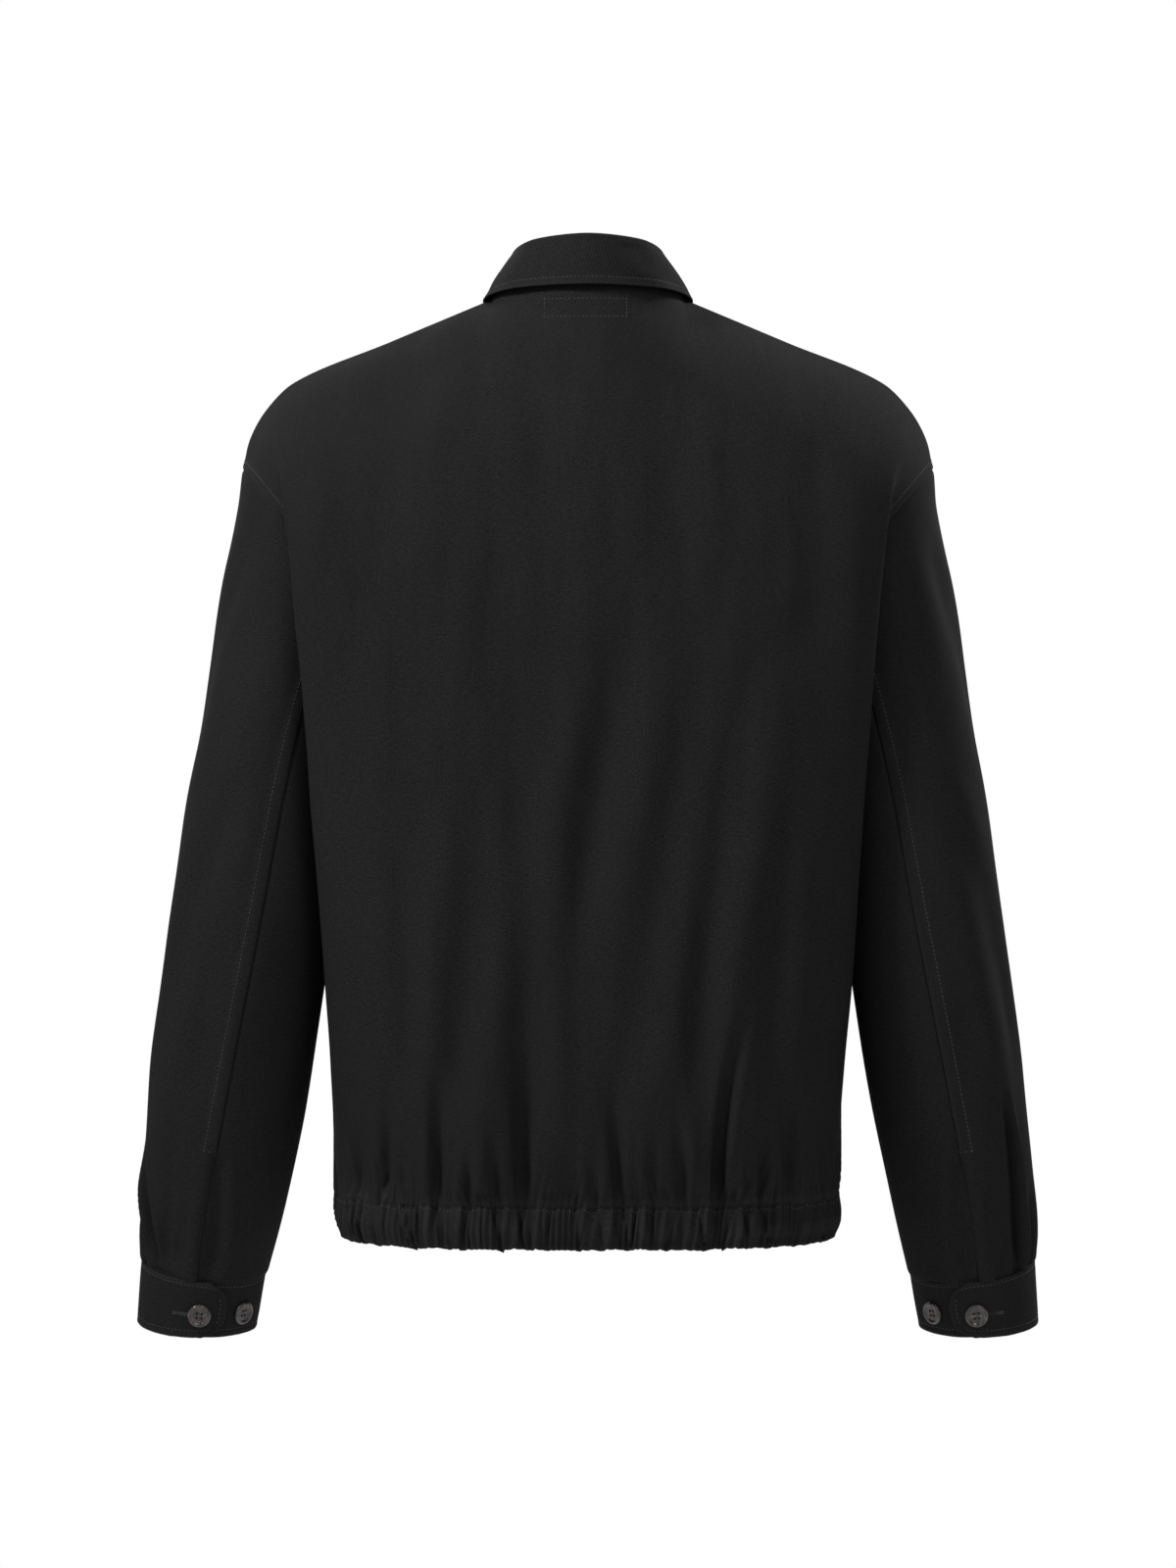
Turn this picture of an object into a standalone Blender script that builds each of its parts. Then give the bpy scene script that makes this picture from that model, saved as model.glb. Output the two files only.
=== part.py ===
"""Harrington jacket, worn and hollow: a boxy zip jacket with dropped shoulders, a turned-down shirt
collar, two-piece sleeves on buttoned cuffs and an elasticated hem.

Frame: metres, +Z up, the front faces -Y and the wearer's left is +X. The origin is the middle of the
neck hole at the height where the shoulder seams start, which is where the wearer holds the jacket up.

Each cloth piece is a surface that runs through named sections. The surface is worked out finely,
its bends are spread evenly, and it is then thinned to the mesh that is built and gets its thickness
inwards. Pieces that are sewn together share their edge's points and stand GAP apart there.
"""

from math import cos, pi, radians, sin
from typing import NamedTuple

import bmesh
import bpy
import numpy as np
from mathutils import Matrix

# ---------------------------------------------------------------- sizes, in metres
GAP = 0.0003
DRAW_BACK = 0.0002  # what each of two sewn edges gives up for the gap between them
CLOTH = 0.0015
CUFF_CLOTH = 0.0018
BAND_CLOTH = 0.0022
FINE = 6  # fine steps of a surface to each step of the mesh that is built
RELAX_PASSES = 40
LEAST_ALIKE = -0.15  # the cosine between directions past which two panels at a seam keep their own

HEM_SEAM_Z = -0.6400
HEM_Z = -0.6685
CF_OPEN = 0.0052  # from the centre front to each front edge

ARMPIT = np.array((0.155, 0.0, -0.225))
SHOULDER_END = np.array((0.2464, 0.0, -0.1225))
ARMHOLE_DEPTH = 0.074  # half of the armhole, front to back

COLOURS = {
    "twill": ((0.0165, 0.0160, 0.0170), 0.86, 0.0),
    "horn": ((0.060, 0.046, 0.042), 0.35, 0.0),
    "tape": ((0.012, 0.012, 0.013), 0.80, 0.0),
    "metal": ((0.26, 0.25, 0.24), 0.32, 1.0),
}


def armhole(degrees):
    """A point of the armhole seam: 0 is the armpit, 90 the back, 180 the shoulder and -90 the front."""
    turn = radians(degrees)
    middle, reach = (ARMPIT + SHOULDER_END) / 2, (SHOULDER_END - ARMPIT) / 2
    return tuple(middle - reach * cos(turn) + np.array((0, ARMHOLE_DEPTH * sin(turn), 0)))


class Section(NamedTuple):
    """Half a body panel from its centre line to its side edge. Points are (x, y, z)."""

    centre: tuple
    neck: tuple  # under the point where neck and shoulder seam meet
    blade: tuple  # over the shoulder blade, or the chest
    lip: tuple  # the edge of the fold that hangs over the armhole
    turn: tuple  # what the cloth bends round between the lip and its side edge
    edge: tuple  # on the side seam or the armhole seam


HEM_SIDE = (0.1785, 0, -0.640)
BACK = (
    Section((0, 0.1120, -0.640), (0.066, 0.1105, -0.640), (0.128, 0.0930, -0.640),
            (0.1715, 0.0420, -0.640), (0.1785, 0.0180, -0.640), HEM_SIDE),
    Section((0, 0.1280, -0.600), (0.068, 0.1265, -0.600), (0.132, 0.1080, -0.600),
            (0.1745, 0.0480, -0.600), (0.1825, 0.0190, -0.600), (0.1812, 0, -0.600)),
    Section((0, 0.1265, -0.490), (0.070, 0.1250, -0.490), (0.140, 0.1090, -0.490),
            (0.1860, 0.0560, -0.490), (0.1865, 0.0240, -0.490), (0.1805, 0, -0.490)),
    Section((0, 0.1230, -0.360), (0.072, 0.1215, -0.360), (0.145, 0.1110, -0.360),
            (0.1960, 0.0780, -0.360), (0.1630, 0.0710, -0.360), (0.1560, 0, -0.360)),
    Section((0, 0.1220, -0.245), (0.074, 0.1205, -0.245), (0.147, 0.1130, -0.245),
            (0.2065, 0.0885, -0.242), (0.1560, 0.0890, -0.238), armhole(0)),
    Section((0, 0.1190, -0.170), (0.074, 0.1165, -0.175), (0.147, 0.1095, -0.180),
            (0.2105, 0.0890, -0.190), (0.1900, 0.0830, -0.192), armhole(54)),
    Section((0, 0.1090, -0.105), (0.073, 0.1050, -0.112), (0.146, 0.0990, -0.125),
            (0.2143, 0.0835, -0.146), (0.2040, 0.0800, -0.152), armhole(108)),
    Section((0, 0.0940, -0.050), (0.071, 0.0840, -0.060), (0.144, 0.0750, -0.078),
            (0.2172, 0.0610, -0.106), (0.2270, 0.0575, -0.120), armhole(144)),
    Section((0, 0.0780, -0.012), (0.069, 0.0460, -0.019), (0.143, 0.0360, -0.041),
            (0.2190, 0.0300, -0.078), (0.2405, 0.0290, -0.097), armhole(162)),
    Section((0, 0.0660, 0.009), (0.068, -0.004, 0.001), (0.142, -0.004, -0.030),
            (0.2120, -0.004, -0.0600), (0.2440, -0.002, -0.086), armhole(180)),
)
FRONT = (
    Section((CF_OPEN, -0.1180, -0.640), (0.066, -0.1150, -0.640), (0.128, -0.0960, -0.640),
            (0.1700, -0.0480, -0.640), (0.1785, -0.0200, -0.640), HEM_SIDE),
    Section((CF_OPEN, -0.1350, -0.600), (0.068, -0.1320, -0.600), (0.132, -0.1110, -0.600),
            (0.1730, -0.0540, -0.600), (0.1825, -0.0210, -0.600), (0.1812, 0, -0.600)),
    Section((CF_OPEN, -0.1330, -0.490), (0.070, -0.1300, -0.490), (0.138, -0.1120, -0.490),
            (0.1780, -0.0640, -0.490), (0.1840, -0.0270, -0.490), (0.1805, 0, -0.490)),
    Section((CF_OPEN, -0.1300, -0.360), (0.073, -0.1265, -0.360), (0.140, -0.1120, -0.360),
            (0.1860, -0.0800, -0.360), (0.1600, -0.0710, -0.360), (0.1560, 0, -0.360)),
    Section((CF_OPEN, -0.1270, -0.245), (0.076, -0.1240, -0.245), (0.142, -0.1110, -0.245),
            (0.1980, -0.0850, -0.242), (0.1550, -0.0840, -0.238), armhole(0)),
    Section((CF_OPEN, -0.1220, -0.195), (0.076, -0.1165, -0.185), (0.142, -0.1050, -0.182),
            (0.2030, -0.0850, -0.188), (0.1890, -0.0800, -0.192), armhole(-54)),
    Section((CF_OPEN, -0.1130, -0.145), (0.075, -0.1030, -0.122), (0.142, -0.0930, -0.122),
            (0.2090, -0.0790, -0.142), (0.2060, -0.0780, -0.152), armhole(-108)),
    Section((CF_OPEN, -0.1000, -0.105), (0.073, -0.0800, -0.064), (0.142, -0.0700, -0.077),
            (0.2130, -0.0600, -0.102), (0.2250, -0.0580, -0.117), armhole(-144)),
    Section((CF_OPEN, -0.0880, -0.076), (0.070, -0.0460, -0.021), (0.142, -0.0380, -0.041),
            (0.2170, -0.0330, -0.076), (0.2405, -0.0310, -0.096), armhole(-162)),
    Section((CF_OPEN, -0.0780, -0.055), (0.068, -0.004, 0.001), (0.142, -0.004, -0.030),
            (0.2120, -0.004, -0.0600), (0.2440, -0.002, -0.086), armhole(180)),
)
ROW_STEPS = (2, 3, 2, 2, 3, 3, 2, 1, 1)  # mesh rows from each section to the next, from the hem up
ARMHOLE_ROWS = sum(ROW_STEPS[4:])
COLUMN_STEPS = (6, 6, 4)  # mesh columns from the centre to the lip
TURN_STEPS = 6  # mesh columns from the lip round to the side edge
NECK_BLEND = 0.78  # share of a panel's rows above which the oval of the neck hole takes over


class Fold(NamedTuple):
    """A soft trough that rises from the hem: where it starts and fades, its width and its depth."""

    x: float
    top_x: float
    top_z: float
    width: float
    depth: float


BACK_FOLDS = (
    Fold(0.160, 0.166, -0.545, 0.011, 0.0052),
    Fold(0.138, 0.142, -0.520, 0.012, 0.0065),
    Fold(0.102, 0.104, -0.470, 0.012, 0.0059),
    Fold(0.045, 0.050, -0.430, 0.015, 0.0072),
    Fold(0.012, 0.016, -0.550, 0.011, 0.0039),
    Fold(-0.022, -0.012, -0.390, 0.017, 0.0072),
    Fold(-0.058, -0.050, -0.500, 0.012, 0.0046),
    Fold(-0.092, -0.080, -0.440, 0.011, 0.0084),
    Fold(-0.122, -0.118, -0.560, 0.010, 0.0046),
    Fold(-0.140, -0.138, -0.500, 0.013, 0.0065),
    Fold(-0.163, -0.168, -0.550, 0.010, 0.0046),
)
FRONT_FOLDS = (
    Fold(0.048, 0.050, -0.530, 0.012, 0.0046),
    Fold(0.076, 0.084, -0.450, 0.014, 0.0072),
    Fold(0.101, 0.104, -0.560, 0.011, 0.0046),
    Fold(0.127, 0.136, -0.500, 0.013, 0.0065),
    Fold(0.154, 0.160, -0.545, 0.011, 0.0052),
)


class Ring(NamedTuple):
    """A ring round the sleeve: its outermost and innermost points as (x, z), and its depth."""

    outer: tuple
    inner: tuple
    y: float  # of its middle
    depth: float  # half of it, front to back
    dip: float  # how far the back of the ring hangs below its middle


SLEEVE = (
    Ring((0.2464, -0.1225), (0.1550, -0.225), 0.0, ARMHOLE_DEPTH, 0.0),
    Ring((0.2534, -0.1650), (0.1600, -0.246), 0.001, 0.0700, 0.0),
    Ring((0.2611, -0.2065), (0.1640, -0.273), 0.003, 0.0655, 0.0),
    Ring((0.2723, -0.2765), (0.1690, -0.315), 0.006, 0.0635, 0.0),
    Ring((0.2828, -0.3465), (0.1740, -0.368), 0.008, 0.0620, 0.0),
    Ring((0.2926, -0.4165), (0.1805, -0.436), 0.007, 0.0610, 0.001),
    Ring((0.3024, -0.4865), (0.1900, -0.506), 0.001, 0.0595, 0.002),
    Ring((0.3122, -0.5565), (0.2012, -0.574), -0.008, 0.0565, 0.004),
    Ring((0.3185, -0.6265), (0.2172, -0.643), -0.018, 0.0515, 0.006),
    Ring((0.3212, -0.6870), (0.2310, -0.6982), -0.0260, 0.0450, 0.008),
)
SLEEVE_STEPS = (1, 1, 2, 2, 2, 2, 2, 2, 2)
# The two sleeve seams: their mesh column from the armpit, and the angle that they reach at the cuff.
BACK_SEAM_COLUMN, BACK_SEAM_AT_CUFF = 3, 92.0
FRONT_SEAM_COLUMN, FRONT_SEAM_AT_CUFF = 3, 80.0


class Pleat(NamedTuple):
    """A dent that runs down the sleeve into the cuff: its angle, depth, width in degrees and start."""

    angle: float
    depth: float
    width: float
    start: float  # as a share of the sleeve's length


PLEATS = (
    Pleat(126.0, 0.0050, 9.0, 0.64),
    Pleat(106.0, 0.0028, 7.0, 0.84),
    Pleat(152.0, 0.0032, 10.0, 0.80),
)

CUFF = (
    Ring((0.3213, -0.6873), (0.2320, -0.6985), -0.0262, 0.0446, 0.008),
    Ring((0.3245, -0.7325), (0.2385, -0.7365), -0.0315, 0.0432, 0.0055),
)
CUFF_ROWS, CUFF_COLUMNS = 4, 30
FLAP_START, CUFF_TURN, FLAP_LAP = 62.0, 404.0, 46.0  # degrees round the cuff
FLAP_SETTLES = 60.0  # degrees past the lap over which the cuff comes back to its ring
FLAP_CORNER, FLAP_ROUND = 0.40, 24.0  # its rounded corner: share of the cuff's height, and degrees
CUFF_CROWDING = 1.08  # above 1, the cuff's mesh columns crowd towards the rounded end
BUTTON_ANGLES = (86.0, 42.0)  # through the lap, and on the layer below it
BUTTON_HEIGHT = 0.58  # share of the way down the cuff
BUTTON_STEPS = 18
BUTTON_PROFILE = ((0.0, 0.0), (0.0070, 0.0), (0.0083, 0.0014), (0.0074, 0.0028), (0.0060, 0.0028),
                  (0.0050, 0.0020), (0.0, 0.0020))

BACK_GATHERS, FRONT_GATHERS = 46, 14
BAND_FLAT, FLAT_STEP = 0.062, 0.0125  # the plain tab at each front end of the hem band
GATHER_DEPTH = 0.0016
BAND_TUCK = 0.975  # the band's lower edge, as a share of its seam's girth
BAND_SWELL = 0.0012  # how far its middle stands out


class CollarSection(NamedTuple):
    """The collar at one place along the neck seam, as a share of the way from the back to the front."""

    share: float
    roll: tuple  # the top of the fold
    edge: tuple  # the lower edge of the fall


COLLAR = (
    CollarSection(0.00, (0.0000, 0.0665, 0.0400), (0.0000, 0.0765, 0.0037)),
    CollarSection(0.23, (0.0400, 0.0460, 0.0370), (0.0545, 0.0540, 0.0025)),
    CollarSection(0.47, (0.0525, -0.0040, 0.0315), (0.0755, -0.0060, 0.0012)),
    CollarSection(0.74, (0.0430, -0.0555, -0.0060), (0.0725, -0.0760, -0.0440)),
    CollarSection(1.00, (0.0080, -0.0765, -0.0290), (0.0480, -0.0985, -0.0850)),
)
COLLAR_STEPS = (4, 4, 4, 4)
ROLL_HALF = 0.0026  # half of the fold's width
COLLAR_RISE = 0.0010  # from the neck seam up to the foot of the stand
STAND_BOW = 0.0006  # how far the stand's middle leans in
FALL_BULGE = 0.0012

TAPE_THICK, TAPE_SINK = 0.0008, 0.0012  # the sink is at the tape's edge, away from the fronts
TAPE_INTO = 0.6  # how far the tape reaches into the front, as a share of a mesh cell
CHAIN_NEAR, CHAIN_FAR, CHAIN_THICK = 0.0006, 0.0036, 0.0024
CHAIN_STEP = 0.0003  # across the slope from the chain to its tape
CHAIN_PARTS = 0.0014  # how far each side's chain moves out inside the slider
ZIP_TOP_Z, SLIDER_Z = -0.0560, -0.0660
SLIDER_HALF_WIDTH, SLIDER_HALF_LENGTH = 0.0042, 0.0055
PLATE_THICK = 0.0012
POST_HALF_WIDTH, POST_LENGTH = 0.0009, 0.0016  # the post that joins the slider's two plates
BAIL_HALF_WIDTH, BAIL_HALF_LENGTH, BAIL_THICK = 0.0011, 0.0040, 0.0010
OVERLAP = 0.0003  # how far joined blocks reach into each other
PULL_CLEARANCE = 0.0004  # round the pull's bar below the bail
PULL_BAR_RADIUS = 0.00065
PULL_LENGTH, PULL_HALF_WIDTH = 0.0270, 0.0036
PULL_WINDOW = (0.0017, 0.0056)  # half width, and its far end from the hinge


# ---------------------------------------------------------------- curves and surfaces
def curve_through(points, steps):
    """Points along the curve through `points`, with steps[i] steps from point i to the next.

    Every coordinate is a monotone cubic over the chord length, so a point that reaches furthest
    stays the furthest. Further axes of `points` are curves worked out side by side.
    """
    points = np.asarray(points, float)
    spans = np.maximum(np.linalg.norm(np.diff(points, axis=0), axis=-1, keepdims=True), 1e-9)
    slopes = np.diff(points, axis=0) / spans
    before, after = slopes[:-1], slopes[1:]
    alike = before * after > 0
    inner = np.where(alike, 2 * before * after / np.where(alike, before + after, 1), 0)
    tangents = np.concatenate([slopes[:1], inner, slopes[-1:]])
    curve = [points[:1]]
    for i, count in enumerate(steps):
        t = (np.arange(1, count + 1) / count).reshape((-1,) + (1,) * (points.ndim - 1))
        curve.append(
            points[i] * (1 + 2 * t) * (1 - t) ** 2
            + points[i + 1] * t * t * (3 - 2 * t)
            + tangents[i] * spans[i] * t * (1 - t) ** 2
            + tangents[i + 1] * spans[i] * t * t * (t - 1)
        )
    return np.concatenate(curve)


def smoothstep(t):
    """0 below 0, 1 above 1 and an even S between."""
    t = np.clip(t, 0, 1)
    return t * t * (3 - 2 * t)


def relaxed(grid):
    """The grid with its bends spread evenly along both ways; its border stays."""
    grid = grid.copy()
    for _ in range(RELAX_PASSES):
        inside = grid[1:-1, 1:-1]
        along = grid[2:, 1:-1] + grid[:-2, 1:-1] - 2 * inside
        across = grid[1:-1, 2:] + grid[1:-1, :-2] - 2 * inside
        grid[1:-1, 1:-1] = inside + 0.2 * (along + across)
    return grid


def unit(vectors):
    """The vectors at length 1."""
    return vectors / np.maximum(np.linalg.norm(vectors, axis=-1, keepdims=True), 1e-12)


def normals_of(grid):
    """Unit normals of a grid of points: its column direction crossed with its row direction."""
    return unit(np.cross(np.gradient(grid, axis=1), np.gradient(grid, axis=0)))


def mirrored(grid):
    """The grid on the other side of the body, its columns turned round so that it still faces out."""
    return (grid * np.array((-1, 1, 1)))[:, ::-1]


def neck_curve(centre, side, steps):
    """A quarter of an oval from the centre line to the side of the neck, for every row at once."""
    turn = np.arange(steps + 1)[:, None] / steps * pi / 2
    x = centre[:, 0] + (side[:, 0] - centre[:, 0]) * np.sin(turn)
    y = side[:, 1] + (centre[:, 1] - side[:, 1]) * np.cos(turn)
    z = side[:, 2] + (centre[:, 2] - side[:, 2]) * np.cos(turn) ** 1.3
    return np.stack([x, y, z], axis=-1)


def half_panel(sections):
    """Fine grid of half a body panel; rows rise from the hem and columns run from centre to side."""
    net = curve_through(np.array(sections, float), [n * FINE for n in ROW_STEPS])
    above = len(net) - 1 - ARMHOLE_ROWS * FINE
    side = np.sign(net[0, 0, 1])
    net[above:, 5] = [armhole(side * turn) for turn in np.linspace(0, 180, ARMHOLE_ROWS * FINE + 1)]
    lip, turn, edge = net[:, 3], net[:, 4], net[:, 5]
    t = (np.arange(1, 4) / 4)[:, None, None]
    bend = lip * (1 - t) ** 2 + 2 * turn * t * (1 - t) + edge * t * t
    points = np.concatenate([net[:, :4].swapaxes(0, 1), bend, edge[None]])
    to_lip = [n * FINE for n in COLUMN_STEPS]
    round_lip = [TURN_STEPS * FINE // 4] * 4
    across = points[1:2] * (-1, 1, 1)
    smooth = curve_through(np.concatenate([across, points]), to_lip[:1] + to_lip + round_lip)[to_lip[0] :]
    neck = neck_curve(points[0], points[1], to_lip[0])
    cornered = np.concatenate([neck, curve_through(points[1:], to_lip[1:] + round_lip)[1:]])
    height = np.arange(len(net)) / (len(net) - 1)
    share = smoothstep((height - NECK_BLEND) / (1 - NECK_BLEND))[:, None]
    return (smooth * (1 - share) + cornered * share).swapaxes(0, 1)


def folded(grid, folds):
    """The panel with soft troughs pressed into it, deepest a little above the hem."""
    depth = np.zeros(grid.shape[:2])
    for fold in folds:
        rise = np.clip((grid[..., 2] - HEM_SEAM_Z) / (fold.top_z - HEM_SEAM_Z), 0, 1)
        x = fold.x + (fold.top_x - fold.x) * rise
        across = (grid[..., 0] - x) / (fold.width * (0.75 + 0.9 * rise))
        swell = 0.45 + 0.55 * smoothstep(rise * 7)
        depth += fold.depth * np.exp(-(across**2)) * (1 - smoothstep(rise)) * swell
    columns = np.arange(grid.shape[1])
    from_edge = np.minimum(columns, columns[::-1]) / (2 * FINE)
    return grid - normals_of(grid) * (depth * smoothstep(from_edge))[..., None]


def ring_points(ring, angles):
    """Points round a sleeve or cuff ring; 0 faces the body, 90 the back, 180 outwards."""
    outer, inner = (np.array((p[0], ring.y, p[1])) for p in (ring.outer, ring.inner))
    turn = np.radians(angles)[:, None]
    back = np.array((0, ring.depth, -ring.dip))
    return (outer + inner) / 2 - (outer - inner) / 2 * np.cos(turn) + back * np.sin(turn)


def rings_between(rings, steps):
    """Rings along the smooth tube through `rings`."""
    rows = curve_through([(*r.outer, *r.inner, r.y, r.depth, r.dip) for r in rings], steps)
    return [Ring(tuple(row[:2]), tuple(row[2:4]), *row[4:]) for row in rows]


def sleeve_angles(share):
    """Where the sleeve's fine columns stand round a ring, `share` of the way to the cuff."""
    even = np.linspace(0, 360, 2 * ARMHOLE_ROWS * FINE + 1)
    column = 180 / ARMHOLE_ROWS
    at_armhole = [0, BACK_SEAM_COLUMN * column, 360 - FRONT_SEAM_COLUMN * column, 360]
    at_cuff = np.interp(even, at_armhole, [0, BACK_SEAM_AT_CUFF, 360 - FRONT_SEAM_AT_CUFF, 360])
    return even + (at_cuff - even) * (1 - (1 - share) ** 1.6)


def sleeve_tube():
    """Fine grid of the whole sleeve: rows run down from the armhole, columns round from the armpit."""
    rings = rings_between(SLEEVE, [n * FINE for n in SLEEVE_STEPS])
    rows = []
    for share, ring in zip(np.linspace(0, 1, len(rings)), rings):
        angles = sleeve_angles(share)
        points = ring_points(ring, angles)
        inwards = unit(points[:-1].mean(axis=0) - points)
        for pleat in PLEATS:
            reach = smoothstep((share - pleat.start) / (1 - pleat.start)) * pleat.depth
            points += inwards * (reach * np.exp(-(((angles - pleat.angle) / pleat.width) ** 2)))[:, None]
        rows.append(points)
    return np.array(rows)


# ---------------------------------------------------------------- solids
def material(name):
    """The Principled material of one of COLOURS."""
    made = bpy.data.materials.get(name)
    if made is None:
        colour, roughness, metallic = COLOURS[name]
        made = bpy.data.materials.new(name)
        made.use_nodes = True
        shader = made.node_tree.nodes["Principled BSDF"]
        shader.inputs["Base Color"].default_value = (*colour, 1)
        shader.inputs["Roughness"].default_value = roughness
        shader.inputs["Metallic"].default_value = metallic
    return made


def object_of(mesh, name, finish):
    """An object that holds the mesh, in the jacket's collection."""
    obj = bpy.data.objects.new(name, mesh)
    mesh.materials.append(material(finish))
    mesh.shade_smooth()
    mesh.set_sharp_from_angle(angle=radians(50))
    jacket.objects.link(obj)
    return obj


def wall(name, outer, inner, finish="twill"):
    """A closed wall between two grids of the same size, the outer one facing out."""
    rows, columns = outer.shape[:2]
    index = np.arange(rows * columns).reshape(rows, columns)
    corners = np.stack([index[:-1, :-1], index[:-1, 1:], index[1:, 1:], index[1:, :-1]], axis=-1)
    corners = corners.reshape(-1, 4)
    a, b, c, d = (outer.reshape(-1, 3)[corner] for corner in corners.T)
    turn = np.linalg.norm(c - a, axis=1) > np.linalg.norm(d - b, axis=1) + 1e-6
    corners[turn] = np.roll(corners[turn], -1, axis=1)
    skin = np.concatenate([corners[:, [0, 1, 2]], corners[:, [0, 2, 3]]])
    rim = np.concatenate([index[0, :-1], index[:-1, -1], index[-1, :0:-1], index[:0:-1, 0]])
    after, far = np.roll(rim, -1), rows * columns
    edge = np.stack([after, rim, rim + far, after + far], axis=-1)
    faces = [*skin.tolist(), *(skin[:, ::-1] + far).tolist(), *edge.tolist()]
    mesh = bpy.data.meshes.new(name)
    mesh.from_pydata(np.concatenate([outer, inner]).reshape(-1, 3).tolist(), [], faces)
    return object_of(mesh, name, finish)


def seam_directions(panels):
    """Each panel's thickness directions: its normals, averaged where panels share a point."""
    normals = [normals_of(grid) for grid in panels]
    meeting = {}
    for grid, directions in zip(panels, normals):
        for key, direction in zip(point_keys(grid), directions.reshape(-1, 3)):
            meeting.setdefault(key, []).append(direction)
    averaged = []
    for grid, directions in zip(panels, normals):
        means = []
        for key, own in zip(point_keys(grid), directions.reshape(-1, 3)):
            means.append(sum(other for other in meeting[key] if own @ other > LEAST_ALIKE))
        averaged.append(unit(np.array(means)).reshape(grid.shape))
    return averaged


def point_keys(grid):
    """A key for each point, the same for points within a hundredth of a millimetre."""
    return [tuple(key) for key in np.round(grid.reshape(-1, 3) * 1e5 + 0.13).astype(int)]


def trimmed(grid):
    """The grid with each of its edges drawn back for the seam, along the surface."""
    grid = grid.copy()
    turned = grid.swapaxes(0, 1)
    for view in (grid, grid[::-1], turned, turned[::-1]):
        view[0] += unit(view[1] - view[0]) * DRAW_BACK
    return grid


def sew(panels, thickness=CLOTH):
    """Walls from a dict of name to grid, whose shared edges are seams."""
    for (name, grid), direction in zip(panels.items(), seam_directions(list(panels.values()))):
        wall(name, trimmed(grid), trimmed(grid - direction * thickness))


# ---------------------------------------------------------------- body and sleeves
def fine_back():
    """The whole back, its columns from the wearer's left side to the right."""
    half = half_panel(BACK)
    whole = np.concatenate([half[:, ::-1], (half * np.array((-1, 1, 1)))[:, 1:]], axis=1)
    return folded(relaxed(whole), BACK_FOLDS)


def fine_front():
    """The wearer's left front, its columns from the centre front to the side."""
    return folded(relaxed(half_panel(FRONT)), FRONT_FOLDS)


def build_body(back, front):
    """Back, fronts and the two panels of each sleeve, sewn in one go."""
    sleeve = sleeve_tube()[::FINE, ::FINE]
    top = slice(BACK_SEAM_COLUMN, sleeve.shape[1] - FRONT_SEAM_COLUMN)
    under = np.concatenate([sleeve[:, top.stop - 1 : -1], sleeve[:, : top.start + 1]], axis=1)
    sew({
        "back": back[::FINE, ::FINE],
        "front_left": front[::FINE, ::FINE],
        "front_right": mirrored(front)[::FINE, ::FINE],
        "sleeve_top_left": sleeve[:, top],
        "sleeve_top_right": mirrored(sleeve[:, top]),
        "sleeve_under_left": under,
        "sleeve_under_right": mirrored(under),
    })


# ---------------------------------------------------------------- cuffs
def cuff_point(angle, down, lift=0.0):
    """A point of the cuff's outer face, its outward direction and its downward one."""
    ring = rings_between(CUFF, [100])[round(down * 100)]
    near = ring_points(ring, np.array([angle, angle + 1, angle + 180]))
    ahead = unit(near[1] - near[0])
    drop = unit(ring_points(CUFF[1], np.array([angle]))[0] - ring_points(CUFF[0], np.array([angle]))[0])
    outwards = unit(np.cross(ahead, drop))
    return near[0] + outwards * lift, outwards, drop


def flap_lift(angle):
    """How far the wrapped cuff stands off its ring, so that its lap clears the layer below."""
    return (CUFF_CLOTH + 2 * GAP) * (1 - smoothstep((angle - FLAP_START - FLAP_LAP) / FLAP_SETTLES))


def cuff_grid():
    """The wrapped cuff: it starts at the rounded end of its lap and ends below it."""
    ends = []
    for down in np.linspace(0, 1, CUFF_ROWS + 1):
        corner = max(abs(2 * down - 1) - (1 - 2 * FLAP_CORNER), 0) / (2 * FLAP_CORNER)
        ends.append(FLAP_START + FLAP_ROUND * (1 - np.sqrt(1 - corner**2)))
    rows = []
    for down, end in zip(np.linspace(0, 1, CUFF_ROWS + 1), ends):
        along = np.linspace(0, 1, CUFF_COLUMNS + 1) ** CUFF_CROWDING
        angles = end + (FLAP_START + CUFF_TURN - end) * along
        rows.append([cuff_point(a, down, flap_lift(a))[0] for a in angles])
    return np.array(rows)


def build_cuffs():
    """Both cuffs and their buttons."""
    grid = cuff_grid()
    for side, cuff in (("left", grid), ("right", mirrored(grid))):
        wall(f"cuff_{side}", cuff, cuff - normals_of(cuff) * CUFF_CLOTH)
    for layer, angle in zip(("lap", "under"), BUTTON_ANGLES):
        lift = GAP + (flap_lift(angle) if layer == "lap" else 0)
        point, outwards, drop = cuff_point(angle, BUTTON_HEIGHT, lift)
        for side, sign in (("left", 1), ("right", -1)):
            flip = np.array((sign, 1, 1))
            build_button(f"cuff_button_{layer}_{side}", point * flip, outwards * flip, drop * flip)


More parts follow.
